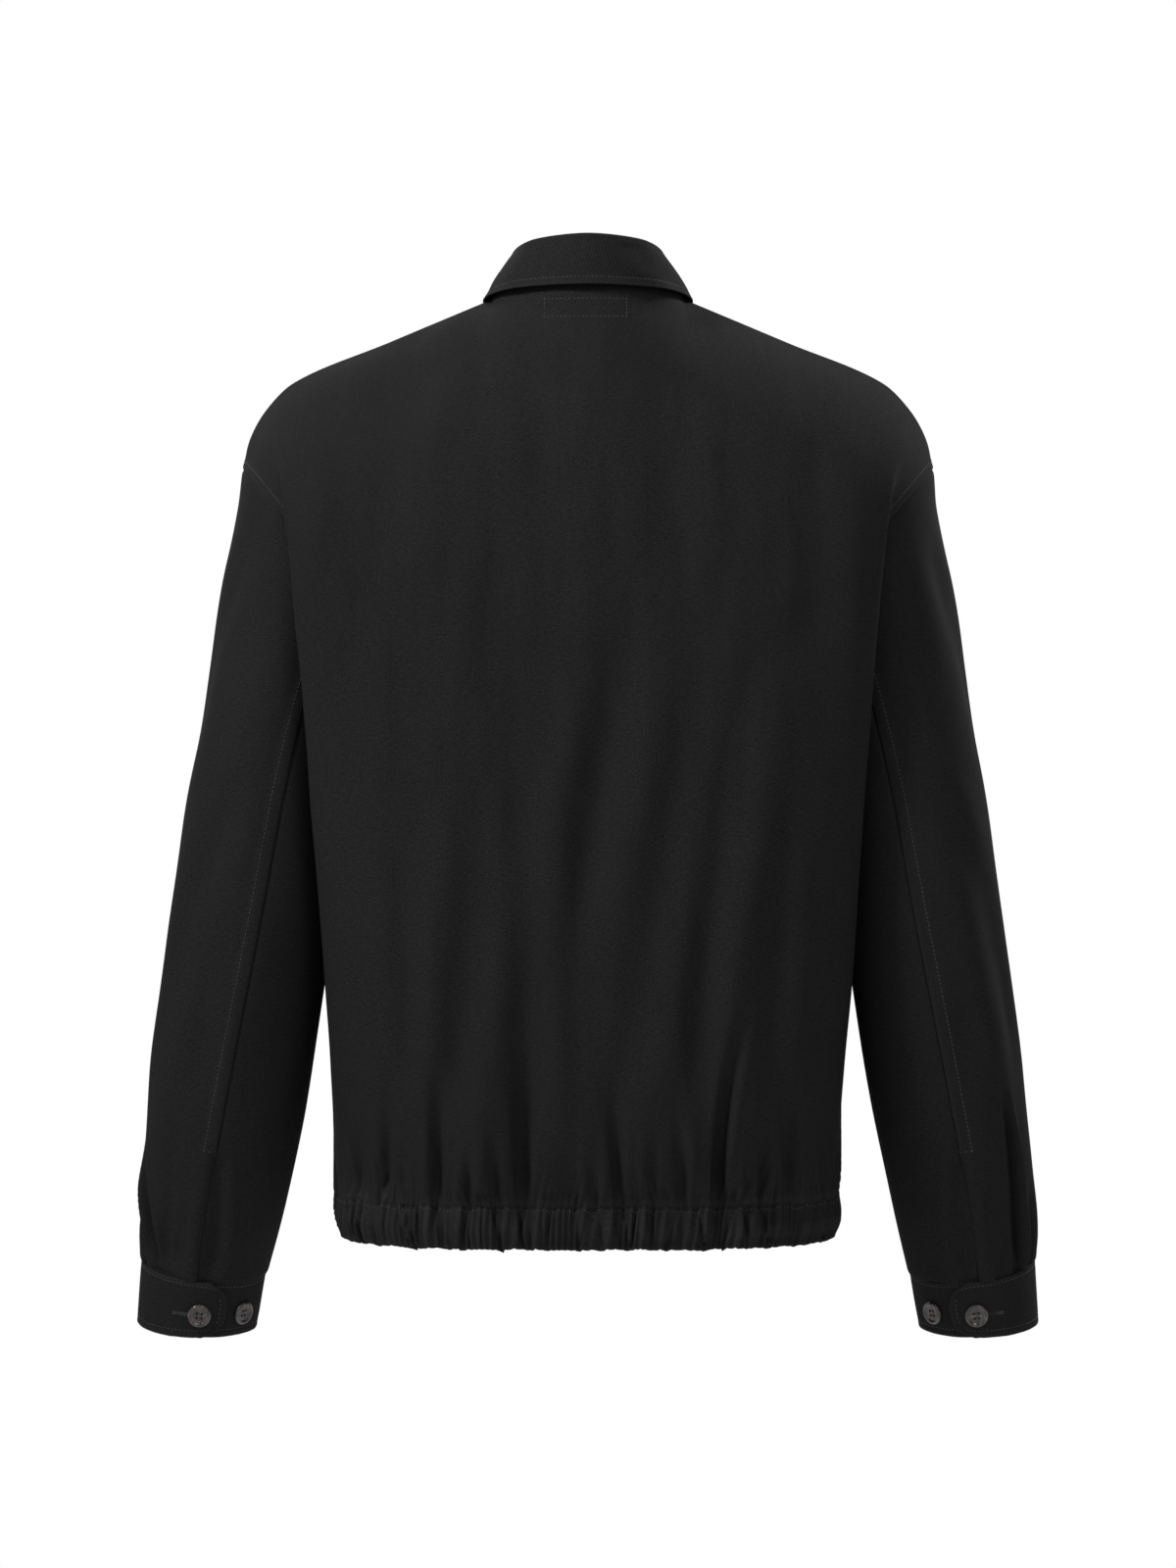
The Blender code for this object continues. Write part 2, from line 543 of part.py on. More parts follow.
def build_button(name, seat, outwards, drop):
    """A rimmed button turned from its profile, its back on `seat`."""
    bm = bmesh.new()
    profile = [bm.verts.new((radius, 0, height)) for radius, height in BUTTON_PROFILE]
    edges = [bm.edges.new(pair) for pair in zip(profile[:-1], profile[1:])]
    bmesh.ops.spin(
        bm, geom=profile + edges, cent=(0, 0, 0), axis=(0, 0, 1), angle=2 * pi, steps=BUTTON_STEPS
    )
    bmesh.ops.remove_doubles(bm, verts=bm.verts, dist=1e-5)
    bmesh.ops.recalc_face_normals(bm, faces=bm.faces)
    across = np.cross(drop, outwards)
    bm.transform(Matrix((across, drop, outwards)).transposed().to_4x4())
    mesh = bpy.data.meshes.new(name)
    bm.to_mesh(mesh)
    bm.free()
    object_of(mesh, name, "horn").location = seat


# ---------------------------------------------------------------- hem band
def band_grid(seam, gathers, flat_start, seed):
    """A gathered band below the seam line, plain over flat_start at its start; rows rise."""
    lengths = np.concatenate([[0], np.cumsum(np.linalg.norm(np.diff(seam, axis=0), axis=1))])
    random = np.random.default_rng(seed)
    widths = random.uniform(0.75, 1.3, gathers)
    stops = np.concatenate([[0], np.cumsum(widths / widths.sum())])
    gathered = flat_start + stops * (lengths[-1] - flat_start)
    along = list(np.arange(0, flat_start, FLAT_STEP))
    wave = [0.0] * len(along)
    for start, end, size in zip(gathered[:-1], gathered[1:], random.uniform(0.6, 1.1, gathers)):
        along += [start, start * 0.6 + end * 0.4, start * 0.3 + end * 0.7]
        wave += [-size, size, 0.45 * size]
    along.append(lengths[-1])
    wave.append(0.0)
    wave[0] = 0.0
    top = np.stack([np.interp(along, lengths, seam[:, axis]) for axis in range(3)], axis=-1)
    tangent = np.gradient(top, axis=0)
    outwards = unit(np.cross(tangent, np.array((0.0, 0.0, 1.0))))
    rows = []
    for height, girth, swell in ((0.0, BAND_TUCK, 0.75), (0.5, 1.0, 1.0), (1.0, 1.0, 0.55)):
        row = top * np.array((girth, girth, 1))
        row[:, 2] = HEM_Z + (HEM_SEAM_Z - GAP - HEM_Z) * height
        row += outwards * (BAND_SWELL * (height == 0.5) + swell * GATHER_DEPTH * np.array(wave)[:, None])
        rows.append(row)
    return np.array(rows), outwards


def build_band(back, front):
    """The hem band in three pieces, which meet at the side seams."""
    grid, outwards = band_grid(back[0], BACK_GATHERS, 0.0, seed=3)
    wall("hem_band_back", trimmed_ends(grid), trimmed_ends(grid - outwards * BAND_CLOTH))
    grid, outwards = band_grid(front[0], FRONT_GATHERS, BAND_FLAT, seed=5)
    outer, inner = trimmed_ends(grid), trimmed_ends(grid - outwards * BAND_CLOTH)
    wall("hem_band_front_left", outer, inner)
    wall("hem_band_front_right", mirrored(outer), mirrored(inner))


def trimmed_ends(grid):
    """The grid with its first and last column drawn back for the seam."""
    grid = grid.copy()
    for view in (grid.swapaxes(0, 1), grid.swapaxes(0, 1)[::-1]):
        view[0] += unit(view[1] - view[0]) * DRAW_BACK
    return grid


# ---------------------------------------------------------------- collar
def neck_seam(back, front):
    """The neck seam from the centre back to the left front edge."""
    columns = COLUMN_STEPS[0] * FINE
    centre = back.shape[1] // 2
    from_back = back[-1, centre - columns : centre + 1][::-1]
    return np.concatenate([from_back, front[-1, :columns][::-1]])


def collar_grids(back, front):
    """Visible faces of the stand and the fall; columns run from the right front round to the left."""
    seam = neck_seam(back, front)
    lengths = np.concatenate([[0], np.cumsum(np.linalg.norm(np.diff(seam, axis=0), axis=1))])
    shares = [section.share for section in COLLAR]
    left = [(share, *section.roll, *section.edge) for share, section in zip(shares, COLLAR)]
    right = [(-share, -x, y, z, -ex, ey, ez) for share, x, y, z, ex, ey, ez in left[:0:-1]]
    columns = curve_through(right + left, COLLAR_STEPS[::-1] + COLLAR_STEPS)
    at = np.abs(columns[:, 0]) * lengths[-1]
    base = np.stack([np.interp(at, lengths, seam[:, axis]) for axis in range(3)], axis=-1)
    base[:, 0] *= np.sign(columns[:, 0])
    roll, edge = columns[:, 1:4], columns[:, 4:7]
    outwards = unit(np.cross((0.0, 0.0, 1.0), np.gradient(roll, axis=0)))
    up = np.array((0.0, 0.0, 1.0))
    foot = base - outwards * CLOTH / 2 + up * COLLAR_RISE
    inside = roll - outwards * ROLL_HALF - up * ROLL_HALF
    outside = roll + outwards * ROLL_HALF - up * ROLL_HALF
    stand = np.array([foot, foot * 0.5 + inside * 0.5 - outwards * STAND_BOW, inside, roll])
    fall = [roll, outside]
    for share, bulge in ((0.33, FALL_BULGE), (0.67, FALL_BULGE), (1.0, 0.0)):
        fall.append(outside + (edge - outside) * share + outwards * bulge)
    return stand, np.array(fall)


def build_collar(back, front):
    """The stand and the fall, which meet along the top of the roll."""
    stand, fall = collar_grids(back, front)
    sew({"collar_stand": stand, "collar_fall": fall})


# ---------------------------------------------------------------- zip
def zip_rows(front):
    """The closed zip's line from the hem up: its points on the centre front, the points a cell further
    into the front, and the directions out of the cloth at both."""
    cells = front[::FINE, ::FINE]
    directions = normals_of(cells)
    edge, beside = cells[:, 0], cells[:, 1]
    band = []
    for z, push, girth in ((HEM_Z, 0.0, BAND_TUCK), ((HEM_Z + HEM_SEAM_Z) / 2, BAND_SWELL, 1.0)):
        band.append([(x, y * girth - push, z) for x, y, _ in (edge[0], beside[0])])
    points = np.concatenate([band, cells[:, :2]])
    directions = np.concatenate([np.broadcast_to((0.0, -1.0, 0.0), (2, 2, 3)), directions[:, :2]])
    directions[2] = unit(directions[2] + directions[1])
    return points, directions


def zip_place(front, z, into=0.0):
    """A place on the zip's line at height z, `into` of a cell into the front, and the way out of it."""
    points, directions = zip_rows(front)
    row = np.interp(z, points[:, 0, 2], np.arange(len(points)))
    low = min(int(row), len(points) - 2)
    weights = np.outer((low + 1 - row, row - low), (1 - into, into))[..., None]
    place = (points[low : low + 2] * weights).sum(axis=(0, 1))
    outwards = unit((directions[low : low + 2] * weights).sum(axis=(0, 1)))
    return place, outwards


def tape_depth(z):
    """How far the tape's outer face lies behind the cloth's: the band is thicker than the fronts."""
    return GAP + CLOTH + (BAND_CLOTH - CLOTH) * smoothstep((HEM_SEAM_Z + 0.018 - z) / 0.012)


def chain_opening(z):
    """How far the chain's edge stands from the centre: it parts above the slider's middle."""
    return CHAIN_NEAR + CHAIN_PARTS * smoothstep((z - SLIDER_Z + 0.002) / SLIDER_HALF_LENGTH)


def build_tapes(front):
    """The zip's tapes behind the fronts, each with its chain as a bead along its edge."""
    rows = zip_rows(front)[0][:-1, 0, 2]
    near_slider = np.linspace(SLIDER_Z - 0.006, ZIP_TOP_Z, 6)
    heights = np.concatenate([[HEM_Z + 0.001], rows[1:][rows[1:] < SLIDER_Z - 0.01], near_slider])
    outer, inner = [], []
    for z in heights:
        near = chain_opening(z)
        far = near + CHAIN_FAR - CHAIN_NEAR
        depth = tape_depth(z) + TAPE_THICK / 2
        row = []
        for x, into, rise, sink in (
            (near, 0, CHAIN_THICK / 2, 0),
            (far, 0, CHAIN_THICK / 2, 0),
            (far + CHAIN_STEP, 0, TAPE_THICK / 2, 0),
            (CF_OPEN, 0, TAPE_THICK / 2, 0),
            (None, TAPE_INTO, TAPE_THICK / 2, TAPE_SINK),
        ):
            place, outwards = zip_place(front, z, into)
            if x:
                place[0] = x
                outwards = unit(outwards * (0, 1, 1))
            place -= outwards * (depth + sink)
            row.append([place + outwards * rise, place - outwards * rise])
        outer.append([pair[0] for pair in row])
        inner.append([pair[1] for pair in row])
    wall("zip_tape_left", np.array(outer), np.array(inner), "tape")
    wall("zip_tape_right", mirrored(np.array(outer)), mirrored(np.array(inner)), "tape")


def block(low, high):
    """A box as a new object among the cutters, between two corners in the slider's own frame."""
    bm = bmesh.new()
    size = np.subtract(high, low)
    bmesh.ops.create_cube(bm, size=1, matrix=Matrix.Diagonal((*size, 1)))
    bmesh.ops.translate(bm, verts=bm.verts, vec=(np.add(low, high) / 2).tolist())
    mesh = bpy.data.meshes.new("block")
    bm.to_mesh(mesh)
    bm.free()
    obj = bpy.data.objects.new("block", mesh)
    helpers.objects.link(obj)
    obj.hide_render = True
    obj.display_type = "WIRE"
    return obj


def shape_of_blocks(name, added, cut=(), bevel=0.0002):
    """One solid from boxes that overlap, less the cut ones, with its edges eased."""
    first, *others = [block(*corners) for corners in added]
    obj = object_of(first.data, name, "metal")
    bpy.data.objects.remove(first)
    for operation, boxes in (("UNION", others), ("DIFFERENCE", [block(*corners) for corners in cut])):
        for box in boxes:
            modifier = obj.modifiers.new(operation.lower(), "BOOLEAN")
            modifier.operation = operation
            modifier.object = box
            box.parent = obj
    if bevel:
        easing = obj.modifiers.new("easing", "BEVEL")
        easing.width = bevel
        easing.segments = 1
    return obj


def build_slider(front):
    """The slider at the top of the closed chain, and its pull hanging from the bail.

    Both are made in a frame whose X runs across, Y down the chain and Z outwards.
    """
    place, outwards = zip_place(front, SLIDER_Z)
    outwards = unit(outwards * (0, 1, 1))
    drop = np.array((0.0, outwards[2], -outwards[1]))
    drop *= -np.sign(drop[2])
    middle = place * (0, 1, 1) - outwards * (tape_depth(SLIDER_Z) + TAPE_THICK / 2)
    wide, long = SLIDER_HALF_WIDTH, SLIDER_HALF_LENGTH
    face = CHAIN_THICK / 2 + GAP
    top = face + PLATE_THICK
    hinge = top + PULL_CLEARANCE + PULL_BAR_RADIUS
    roof = hinge + PULL_BAR_RADIUS + PULL_CLEARANCE
    bail, reach = BAIL_HALF_WIDTH, BAIL_HALF_LENGTH
    slider = shape_of_blocks("zip_slider", (
        ((-wide, -long, face), (wide, long, top)),
        ((-wide, -long, -top), (wide, long, -face)),
        ((-POST_HALF_WIDTH, -long, -face - OVERLAP), (POST_HALF_WIDTH, POST_LENGTH - long, face + OVERLAP)),
        ((-bail, -reach, top - OVERLAP), (bail, BAIL_THICK - reach, roof + BAIL_THICK)),
        ((-bail, reach - BAIL_THICK, top - OVERLAP), (bail, reach, roof + BAIL_THICK)),
        ((-bail, -reach, roof), (bail, reach, roof + BAIL_THICK)),
    ))
    half, far = PULL_WINDOW
    bar = PULL_BAR_RADIUS
    pull = shape_of_blocks(
        "zip_pull",
        added=(((-PULL_HALF_WIDTH, -bar, -bar), (PULL_HALF_WIDTH, PULL_LENGTH, bar)),),
        cut=(((-half, bar, -PULL_LENGTH), (half, far, PULL_LENGTH)),),
    )
    turn = Matrix((np.cross(drop, outwards), drop, outwards)).transposed().to_4x4()
    for obj, offset in ((slider, 0.0), (pull, hinge)):
        obj.matrix_world = Matrix.Translation(middle + outwards * offset) @ turn


# ---------------------------------------------------------------- the jacket
for old in list(bpy.data.objects):
    bpy.data.objects.remove(old)
jacket = bpy.data.collections.new("harrington_jacket")
helpers = bpy.data.collections.new("cutters")
for collection in (jacket, helpers):
    bpy.context.scene.collection.children.link(collection)

BACK_GRID, FRONT_GRID = fine_back(), fine_front()
build_body(BACK_GRID, FRONT_GRID)
build_cuffs()
build_band(BACK_GRID, FRONT_GRID)
build_collar(BACK_GRID, FRONT_GRID)
build_tapes(FRONT_GRID)
build_slider(FRONT_GRID)
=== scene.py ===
"""Harrington jacket in near-black cotton twill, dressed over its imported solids.

Frame: metres, +Z up, the jacket's front faces -Y and the wearer's left is +X. The origin is the middle
of the neck hole. Every cloth piece is a thin closed shell on the surface that its solid follows, with
its creases, gathers and seams pressed into it. Stitches, zip teeth and button threads are set along
lines on those surfaces by Geometry Nodes.
"""

import logging  # noqa: E402
from dataclasses import dataclass, field  # noqa: E402
from enum import Enum  # noqa: E402
from math import cos, pi, radians, sin  # noqa: E402

import bmesh  # noqa: E402
import bpy  # noqa: E402
import numpy as np  # noqa: E402
from mathutils import Matrix  # noqa: E402


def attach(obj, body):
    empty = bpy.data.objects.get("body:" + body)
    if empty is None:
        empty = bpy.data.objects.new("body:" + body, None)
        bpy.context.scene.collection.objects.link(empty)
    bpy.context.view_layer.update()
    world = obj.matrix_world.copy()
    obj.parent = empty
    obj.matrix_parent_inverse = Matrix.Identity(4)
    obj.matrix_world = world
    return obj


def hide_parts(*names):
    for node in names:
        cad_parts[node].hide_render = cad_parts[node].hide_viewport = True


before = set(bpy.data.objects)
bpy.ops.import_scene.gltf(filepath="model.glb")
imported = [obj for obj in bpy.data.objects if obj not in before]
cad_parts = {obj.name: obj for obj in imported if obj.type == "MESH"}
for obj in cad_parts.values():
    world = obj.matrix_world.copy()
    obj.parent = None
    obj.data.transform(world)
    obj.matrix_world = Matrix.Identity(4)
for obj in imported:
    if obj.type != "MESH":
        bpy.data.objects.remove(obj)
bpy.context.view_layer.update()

Array = np.ndarray
Line = tuple[Array, Array]  # points on a surface and the surface's outward directions there
Point = tuple[float, float, float]
Tree = bpy.types.NodeTree
Socket = bpy.types.NodeSocket

log = logging.getLogger("jacket")

JACKET = "jacket"
PULL = "pull"
NOISE, MIX, BUMP = "ShaderNodeTexNoise", "ShaderNodeMix", "ShaderNodeBump"
MATH, RANGE = "ShaderNodeMath", "ShaderNodeMapRange"
THREAD_LIFT = 0.0001  # how far thread lies off the cloth
STITCH_PULL = 0.00035  # how far stitching draws the cloth in
STITCH_REACH = 0.0011  # and how far to either side
BACKWARDS = np.array((-1.0, 1.0, 1.0))  # what mirrors a point to the other side of the body


class Side(Enum):
    """The wearer's side."""

    LEFT = "left"
    RIGHT = "right"


class Edge(Enum):
    """One edge of a cloth piece's grid."""

    FIRST_ROW = "first row"
    LAST_ROW = "last row"
    FIRST_COLUMN = "first column"
    LAST_COLUMN = "last column"


class Slot(Enum):
    """The record's material slots."""

    TWILL = "twill"
    HORN = "horn"
    TAPE = "tape"
    METAL = "metal"


# ---------------------------------------------------------------- nodes and finishes
def add_node(
    tree: Tree, kind: str, inputs: dict | None = None, out: int | str | None = None,
    to: Socket | None = None, **settings: object,
) -> bpy.types.Node | Socket:
    """Adds a node to a tree.

    Args:
        tree: The shader or geometry tree.
        kind: The node's type.
        inputs: Values of its inputs by name or number. An output socket is linked instead.
        out: Which of its outputs is wanted.
        to: What that output is linked to.
        settings: The node's own settings.

    Returns:
        That output, or the node where none is named.
    """
    node = tree.nodes.new(kind)
    for key, value in settings.items():
        setattr(node, key, value)
    for key, value in (inputs or {}).items():
        if isinstance(value, bpy.types.NodeSocket):
            tree.links.new(value, node.inputs[key])
        else:
            node.inputs[key].default_value = value
    if to is not None:
        tree.links.new(node.outputs[out], to)
    return node if out is None else node.outputs[out]


def linear(code: str) -> tuple[float, float, float, float]:
    """The linear RGBA of an sRGB hex colour.

    Args:
        code: Six hex digits after a hash.

    Returns:
        Red, green, blue and an alpha of 1.
    """
    shares = [int(code[i : i + 2], 16) / 255 for i in (1, 3, 5)]
    return (*[s / 12.92 if s <= 0.04045 else ((s + 0.055) / 1.055) ** 2.4 for s in shares], 1.0)


@dataclass(frozen=True)
class Finish:
    """A surface finish on the Principled shader; each kind adds its own pattern."""

    name: str
    colour: str
    roughness: float
    metallic: float = 0.0

    def material(self) -> bpy.types.Material:
        """The finish's material, made once."""
        made = bpy.data.materials.get(self.name)
        if made is None:
            made = bpy.data.materials.new(self.name)
            made.use_nodes = True
            shader = made.node_tree.nodes["Principled BSDF"]
            shader.inputs["Base Color"].default_value = linear(self.colour)
            shader.inputs["Roughness"].default_value = self.roughness
            shader.inputs["Metallic"].default_value = self.metallic
            made.diffuse_color = linear(self.colour)
            self.pattern(made.node_tree, shader)
        return made

    def pattern(self, tree: Tree, shader: bpy.types.Node) -> None:
        """Adds the finish's pattern; a plain finish has none.

        Args:
            tree: The material's tree.
            shader: Its Principled shader.
        """


def bands(tree: Tree, at: Socket, pitch: float, turn: float, ripple: float) -> Socket:
    """Even bands, such as threads side by side.

    Args:
        tree: The material's tree.
        at: Coordinates in metres.
        pitch: Metres from one band to the next.
        turn: The bands' turn on the surface, in degrees.
        ripple: How uneven they are.

    Returns:
        The socket of their height, 0 to 1.
    """
    turned = add_node(tree, "ShaderNodeMapping", {"Vector": at, "Rotation": (0, 0, radians(turn))}, 0)
    scale = pi / 10 / pitch
    settings = {"Vector": turned, "Scale": scale, "Distortion": ripple, "Detail": 1.0, "Detail Scale": 0.4}
    return add_node(tree, "ShaderNodeTexWave", settings, "Fac")


@dataclass(frozen=True)
class WovenCotton(Finish):
    """Piece-dyed cotton twill: a matt nap with fine diagonal ribs, paler where it is rubbed at a seam and
    where light is painted on.
    """

    yarn: str = "#262526"
    # The paler tone, for cloth rubbed at seams and edges and for painted light: paler cloth above the hem
    # seam and painted highlights on the gathers' crests.
    worn_and_lit: str = "#343334"
    rib: float = 0.0012  # real ribs are 0.7 mm apart; drawn coarser so that they show
    rib_turn: float = 58.0
    rib_depth: float = 0.00010
    slub: float = 0.0008  # the thick places of the weft yarns, six times as long as they are high
    mottle: float = 0.0019  # how large the dye's uneven spots are
    fibre: float = 0.0009  # the nap's tufts
    cloud: float = 0.045  # the broad unevenness of the dye
    darkening: float = -0.97  # how far the yarn's paler spots are held back
    gloss: float = 0.03

    def pattern(self, tree: Tree, shader: bpy.types.Node) -> None:
        """Adds ribs, yarn and nap on the piece's own cloth coordinates.

        Args:
            tree: The material's tree.
            shader: Its Principled shader.
        """
        at = add_node(tree, "ShaderNodeUVMap", None, "UV", uv_map="cloth")
        ribs = bands(tree, at, self.rib, self.rib_turn, 1.2)
        weft = bands(tree, at, self.rib * 0.8, self.rib_turn + 90, 2.0)
        fibre = add_node(tree, NOISE, {"Vector": at, "Scale": 1 / self.fibre, "Detail": 2.0}, "Fac")
        cloud = add_node(tree, NOISE, {"Vector": at, "Scale": 1 / self.cloud, "Detail": 3.0}, "Fac")
        mottle = add_node(tree, NOISE, {"Vector": at, "Scale": 1 / self.mottle, "Detail": 3.0}, "Fac")
        weft_way = add_node(tree, "ShaderNodeMapping", {"Vector": at, "Scale": (0.16, 1.0, 1.0)}, 0)
        slub = add_node(tree, NOISE, {"Vector": weft_way, "Scale": 1 / self.slub, "Detail": 2.0}, "Fac")
        height = ribs
        for added, share in ((weft, 0.35), (fibre, 1.1)):
            height = add_node(tree, MATH, {0: added, 1: share, 2: height}, 0, operation="MULTIPLY_ADD")
        grain = fibre
        for added, share in ((slub, 0.5), (cloud, 0.12), (mottle, 0.6)):
            grain = add_node(tree, MATH, {0: added, 1: share, 2: grain}, 0, operation="MULTIPLY_ADD")
        yarn = self.darkening
        for added, share in ((ribs, 0.30), (grain, 1.15)):
            yarn = add_node(tree, MATH, {0: added, 1: share, 2: yarn}, 0, operation="MULTIPLY_ADD")
        cloth = add_node(
            tree, MIX, {0: yarn, 6: linear(self.colour), 7: linear(self.yarn)}, 2, data_type="RGBA"
        )
        # The attribute mixes in the paler tone where the cloth is rubbed at seams and edges, and also as
        # painted light: a painted highlight on the gathers' crests, and paler cloth just above the hem seam
        # where it faces down into shade.
        wear = add_node(tree, "ShaderNodeAttribute", None, "Fac", attribute_name="wear")
        rubbed = add_node(tree, MATH, {0: wear, 1: fibre}, 0, operation="MULTIPLY")
        mixed = {0: rubbed, 6: cloth, 7: linear(self.worn_and_lit)}
        add_node(tree, MIX, mixed, 2, shader.inputs["Base Color"], data_type="RGBA")
        relief = {"Height": height, "Distance": self.rib_depth, "Strength": 0.9}
        add_node(tree, BUMP, relief, 0, shader.inputs["Normal"])
        shader.inputs["Specular IOR Level"].default_value = self.gloss


@dataclass(frozen=True)
class SpunThread(Finish):
    """Polyester-wrapped cotton thread: round, tight and a little paler than the cloth it sews."""

    dark: str = "#19181b"
    pale: str = "#302e32"
    dye: float = 0.004  # how far its dye keeps its tone
    twist: float = 0.0005
    sheen: float = 0.15

    def pattern(self, tree: Tree, shader: bpy.types.Node) -> None:
        """Adds uneven dye from stitch to stitch.

        Args:
            tree: The material's tree.
            shader: Its Principled shader.
        """
        at = add_node(tree, "ShaderNodeTexCoord", None, "Object")
        dye = add_node(tree, NOISE, {"Vector": at, "Scale": 1 / self.dye, "Detail": 1.0}, "Fac")
        mixed = {0: dye, 6: linear(self.dark), 7: linear(self.pale)}
        add_node(tree, MIX, mixed, 2, shader.inputs["Base Color"], data_type="RGBA")
        twist = bands(tree, at, self.twist, 35, 0.5)
        add_node(tree, BUMP, {"Height": twist, "Distance": 0.00008}, 0, shader.inputs["Normal"])
        shader.inputs["Sheen Weight"].default_value = self.sheen


@dataclass(frozen=True)
class ZipTape(Finish):
    """Woven polyester zip tape: a fine herringbone with a slight shine."""

    dark: str = "#121214"
    pale: str = "#232326"
    rib: float = 0.0010  # real ribs are about 0.6 mm apart; drawn coarser so that they show

    def pattern(self, tree: Tree, shader: bpy.types.Node) -> None:
        """Adds the herringbone ribs.

        Args:
            tree: The material's tree.
            shader: Its Principled shader.
        """
        at = add_node(tree, "ShaderNodeUVMap", None, "UV", uv_map="cloth")
        ribs = bands(tree, at, self.rib, 45, 0.3)
        mixed = {0: ribs, 6: linear(self.dark), 7: linear(self.pale)}
        add_node(tree, MIX, mixed, 2, shader.inputs["Base Color"], data_type="RGBA")
        add_node(tree, BUMP, {"Height": ribs, "Distance": 0.00012}, 0, shader.inputs["Normal"])


@dataclass(frozen=True)
class HornResin(Finish):
    """Cast polyester made to look like buffalo horn: polished, with cloudy brown streaks."""

    streak: str = "#3a322f"
    pale: str = "#5a504b"
    streak_size: float = 0.0035
    fleck_size: float = 0.0015
    gloss: float = 0.5

    def pattern(self, tree: Tree, shader: bpy.types.Node) -> None:
        """Adds the streaks and a thin polish.

        Args:
            tree: The material's tree.
            shader: Its Principled shader.
        """
        at = add_node(tree, "ShaderNodeTexCoord", None, "Object")
        stretch = {"Vector": at, "Scale": (1.0, 1.0, 0.35), "Rotation": (0.4, 0.3, 0.5)}
        at = add_node(tree, "ShaderNodeMapping", stretch, 0)
        streaks = add_node(tree, NOISE, {"Vector": at, "Scale": 1 / self.streak_size, "Detail": 4.0}, "Fac")
        flecks = add_node(tree, NOISE, {"Vector": at, "Scale": 1 / self.fleck_size, "Detail": 2.0}, "Fac")
        flecks = add_node(tree, RANGE, {0: flecks, 1: 0.58, 2: 0.72}, 0)
        contrast = add_node(tree, RANGE, {0: streaks, 1: 0.38, 2: 0.66}, 0)
        mixed = {0: contrast, 6: linear(self.colour), 7: linear(self.streak)}
        body = add_node(tree, MIX, mixed, 2, data_type="RGBA")
        mixed = {0: flecks, 6: body, 7: linear(self.pale)}
        add_node(tree, MIX, mixed, 2, shader.inputs["Base Color"], data_type="RGBA")
        add_node(tree, BUMP, {"Height": streaks, "Distance": 0.00003}, 0, shader.inputs["Normal"])
        shader.inputs["Specular IOR Level"].default_value = self.gloss


@dataclass(frozen=True)
class PlatedBrass(Finish):
    """Die-cast and stamped zip metal, gunmetal plated and tumbled: dark, with fine scuffs on its edges."""

    scuffed: str = "#524e49"
    scuff: float = 0.0012

    def pattern(self, tree: Tree, shader: bpy.types.Node) -> None:
        """Adds tumbling marks to the roughness and the colour.

        Args:
            tree: The material's tree.
            shader: Its Principled shader.
        """
        at = add_node(tree, "ShaderNodeTexCoord", None, "Object")
        scuffs = add_node(tree, NOISE, {"Vector": at, "Scale": 1 / self.scuff, "Detail": 4.0}, "Fac")
        mixed = {0: scuffs, 6: linear(self.colour), 7: linear(self.scuffed)}
        add_node(tree, MIX, mixed, 2, shader.inputs["Base Color"], data_type="RGBA")
        between = {0: scuffs, 3: self.roughness - 0.1, 4: self.roughness + 0.15}
        add_node(tree, RANGE, between, 0, shader.inputs["Roughness"])
        add_node(tree, BUMP, {"Height": scuffs, "Distance": 0.00002}, 0, shader.inputs["Normal"])


@dataclass(frozen=True)
class LitPaper(Finish):
    """Translucent background paper over a light table: matt, pale and free of shadows."""

    glow: float = 0.45

    def pattern(self, tree: Tree, shader: bpy.types.Node) -> None:
        """Adds the even light from below.

        Args:
            tree: The material's tree.
            shader: Its Principled shader.
        """
        shader.inputs["Emission Color"].default_value = linear(self.colour)
        shader.inputs["Emission Strength"].default_value = self.glow


TWILL = WovenCotton("cotton_twill_piece_dyed", "#0e0e0f", 0.92)
THREAD = SpunThread("core_spun_thread", "#4a484c", 0.7)
TAPE = ZipTape("woven_polyester_zip_tape", "#18181a", 0.7)
HORN = HornResin("cast_horn_resin_polished", "#1c1817", 0.3)
METAL = PlatedBrass("gunmetal_plated_brass_tumbled", "#2c2a28", 0.36, 1.0)
# Painted shade: near-black beads in the buttonhole's slit stand in for the shade inside it.
SLIT_SHADE = Finish("buttonhole_shade", "#0a0a0b", 0.95)


# ---------------------------------------------------------------- curves and surfaces
def smoothstep(t: Array) -> Array:
    """0 below 0, 1 above 1 and an even S between."""
    t = np.clip(t, 0, 1)
    return t * t * (3 - 2 * t)


def bell(distances: Array, width: float) -> Array:
    """1 at no distance, falling off to either side over `width`."""
    return np.exp(-((distances / width) ** 2))


def unit(vectors: Array) -> Array:
    """The vectors at length 1."""
    return vectors / np.maximum(np.linalg.norm(vectors, axis=-1, keepdims=True), 1e-12)


def lengths_of(points: Array, axis: int = 0) -> Array:
    """The length walked along one axis of a grid of points, from 0.

    Args:
        points: Points in the last axis.
        axis: The axis to walk along.

    Returns:
        The length at each point.
    """
    steps = np.linalg.norm(np.diff(points, axis=axis), axis=-1)
    start = np.zeros_like(steps.take([0], axis=axis))
    return np.concatenate([start, np.cumsum(steps, axis=axis)], axis=axis)


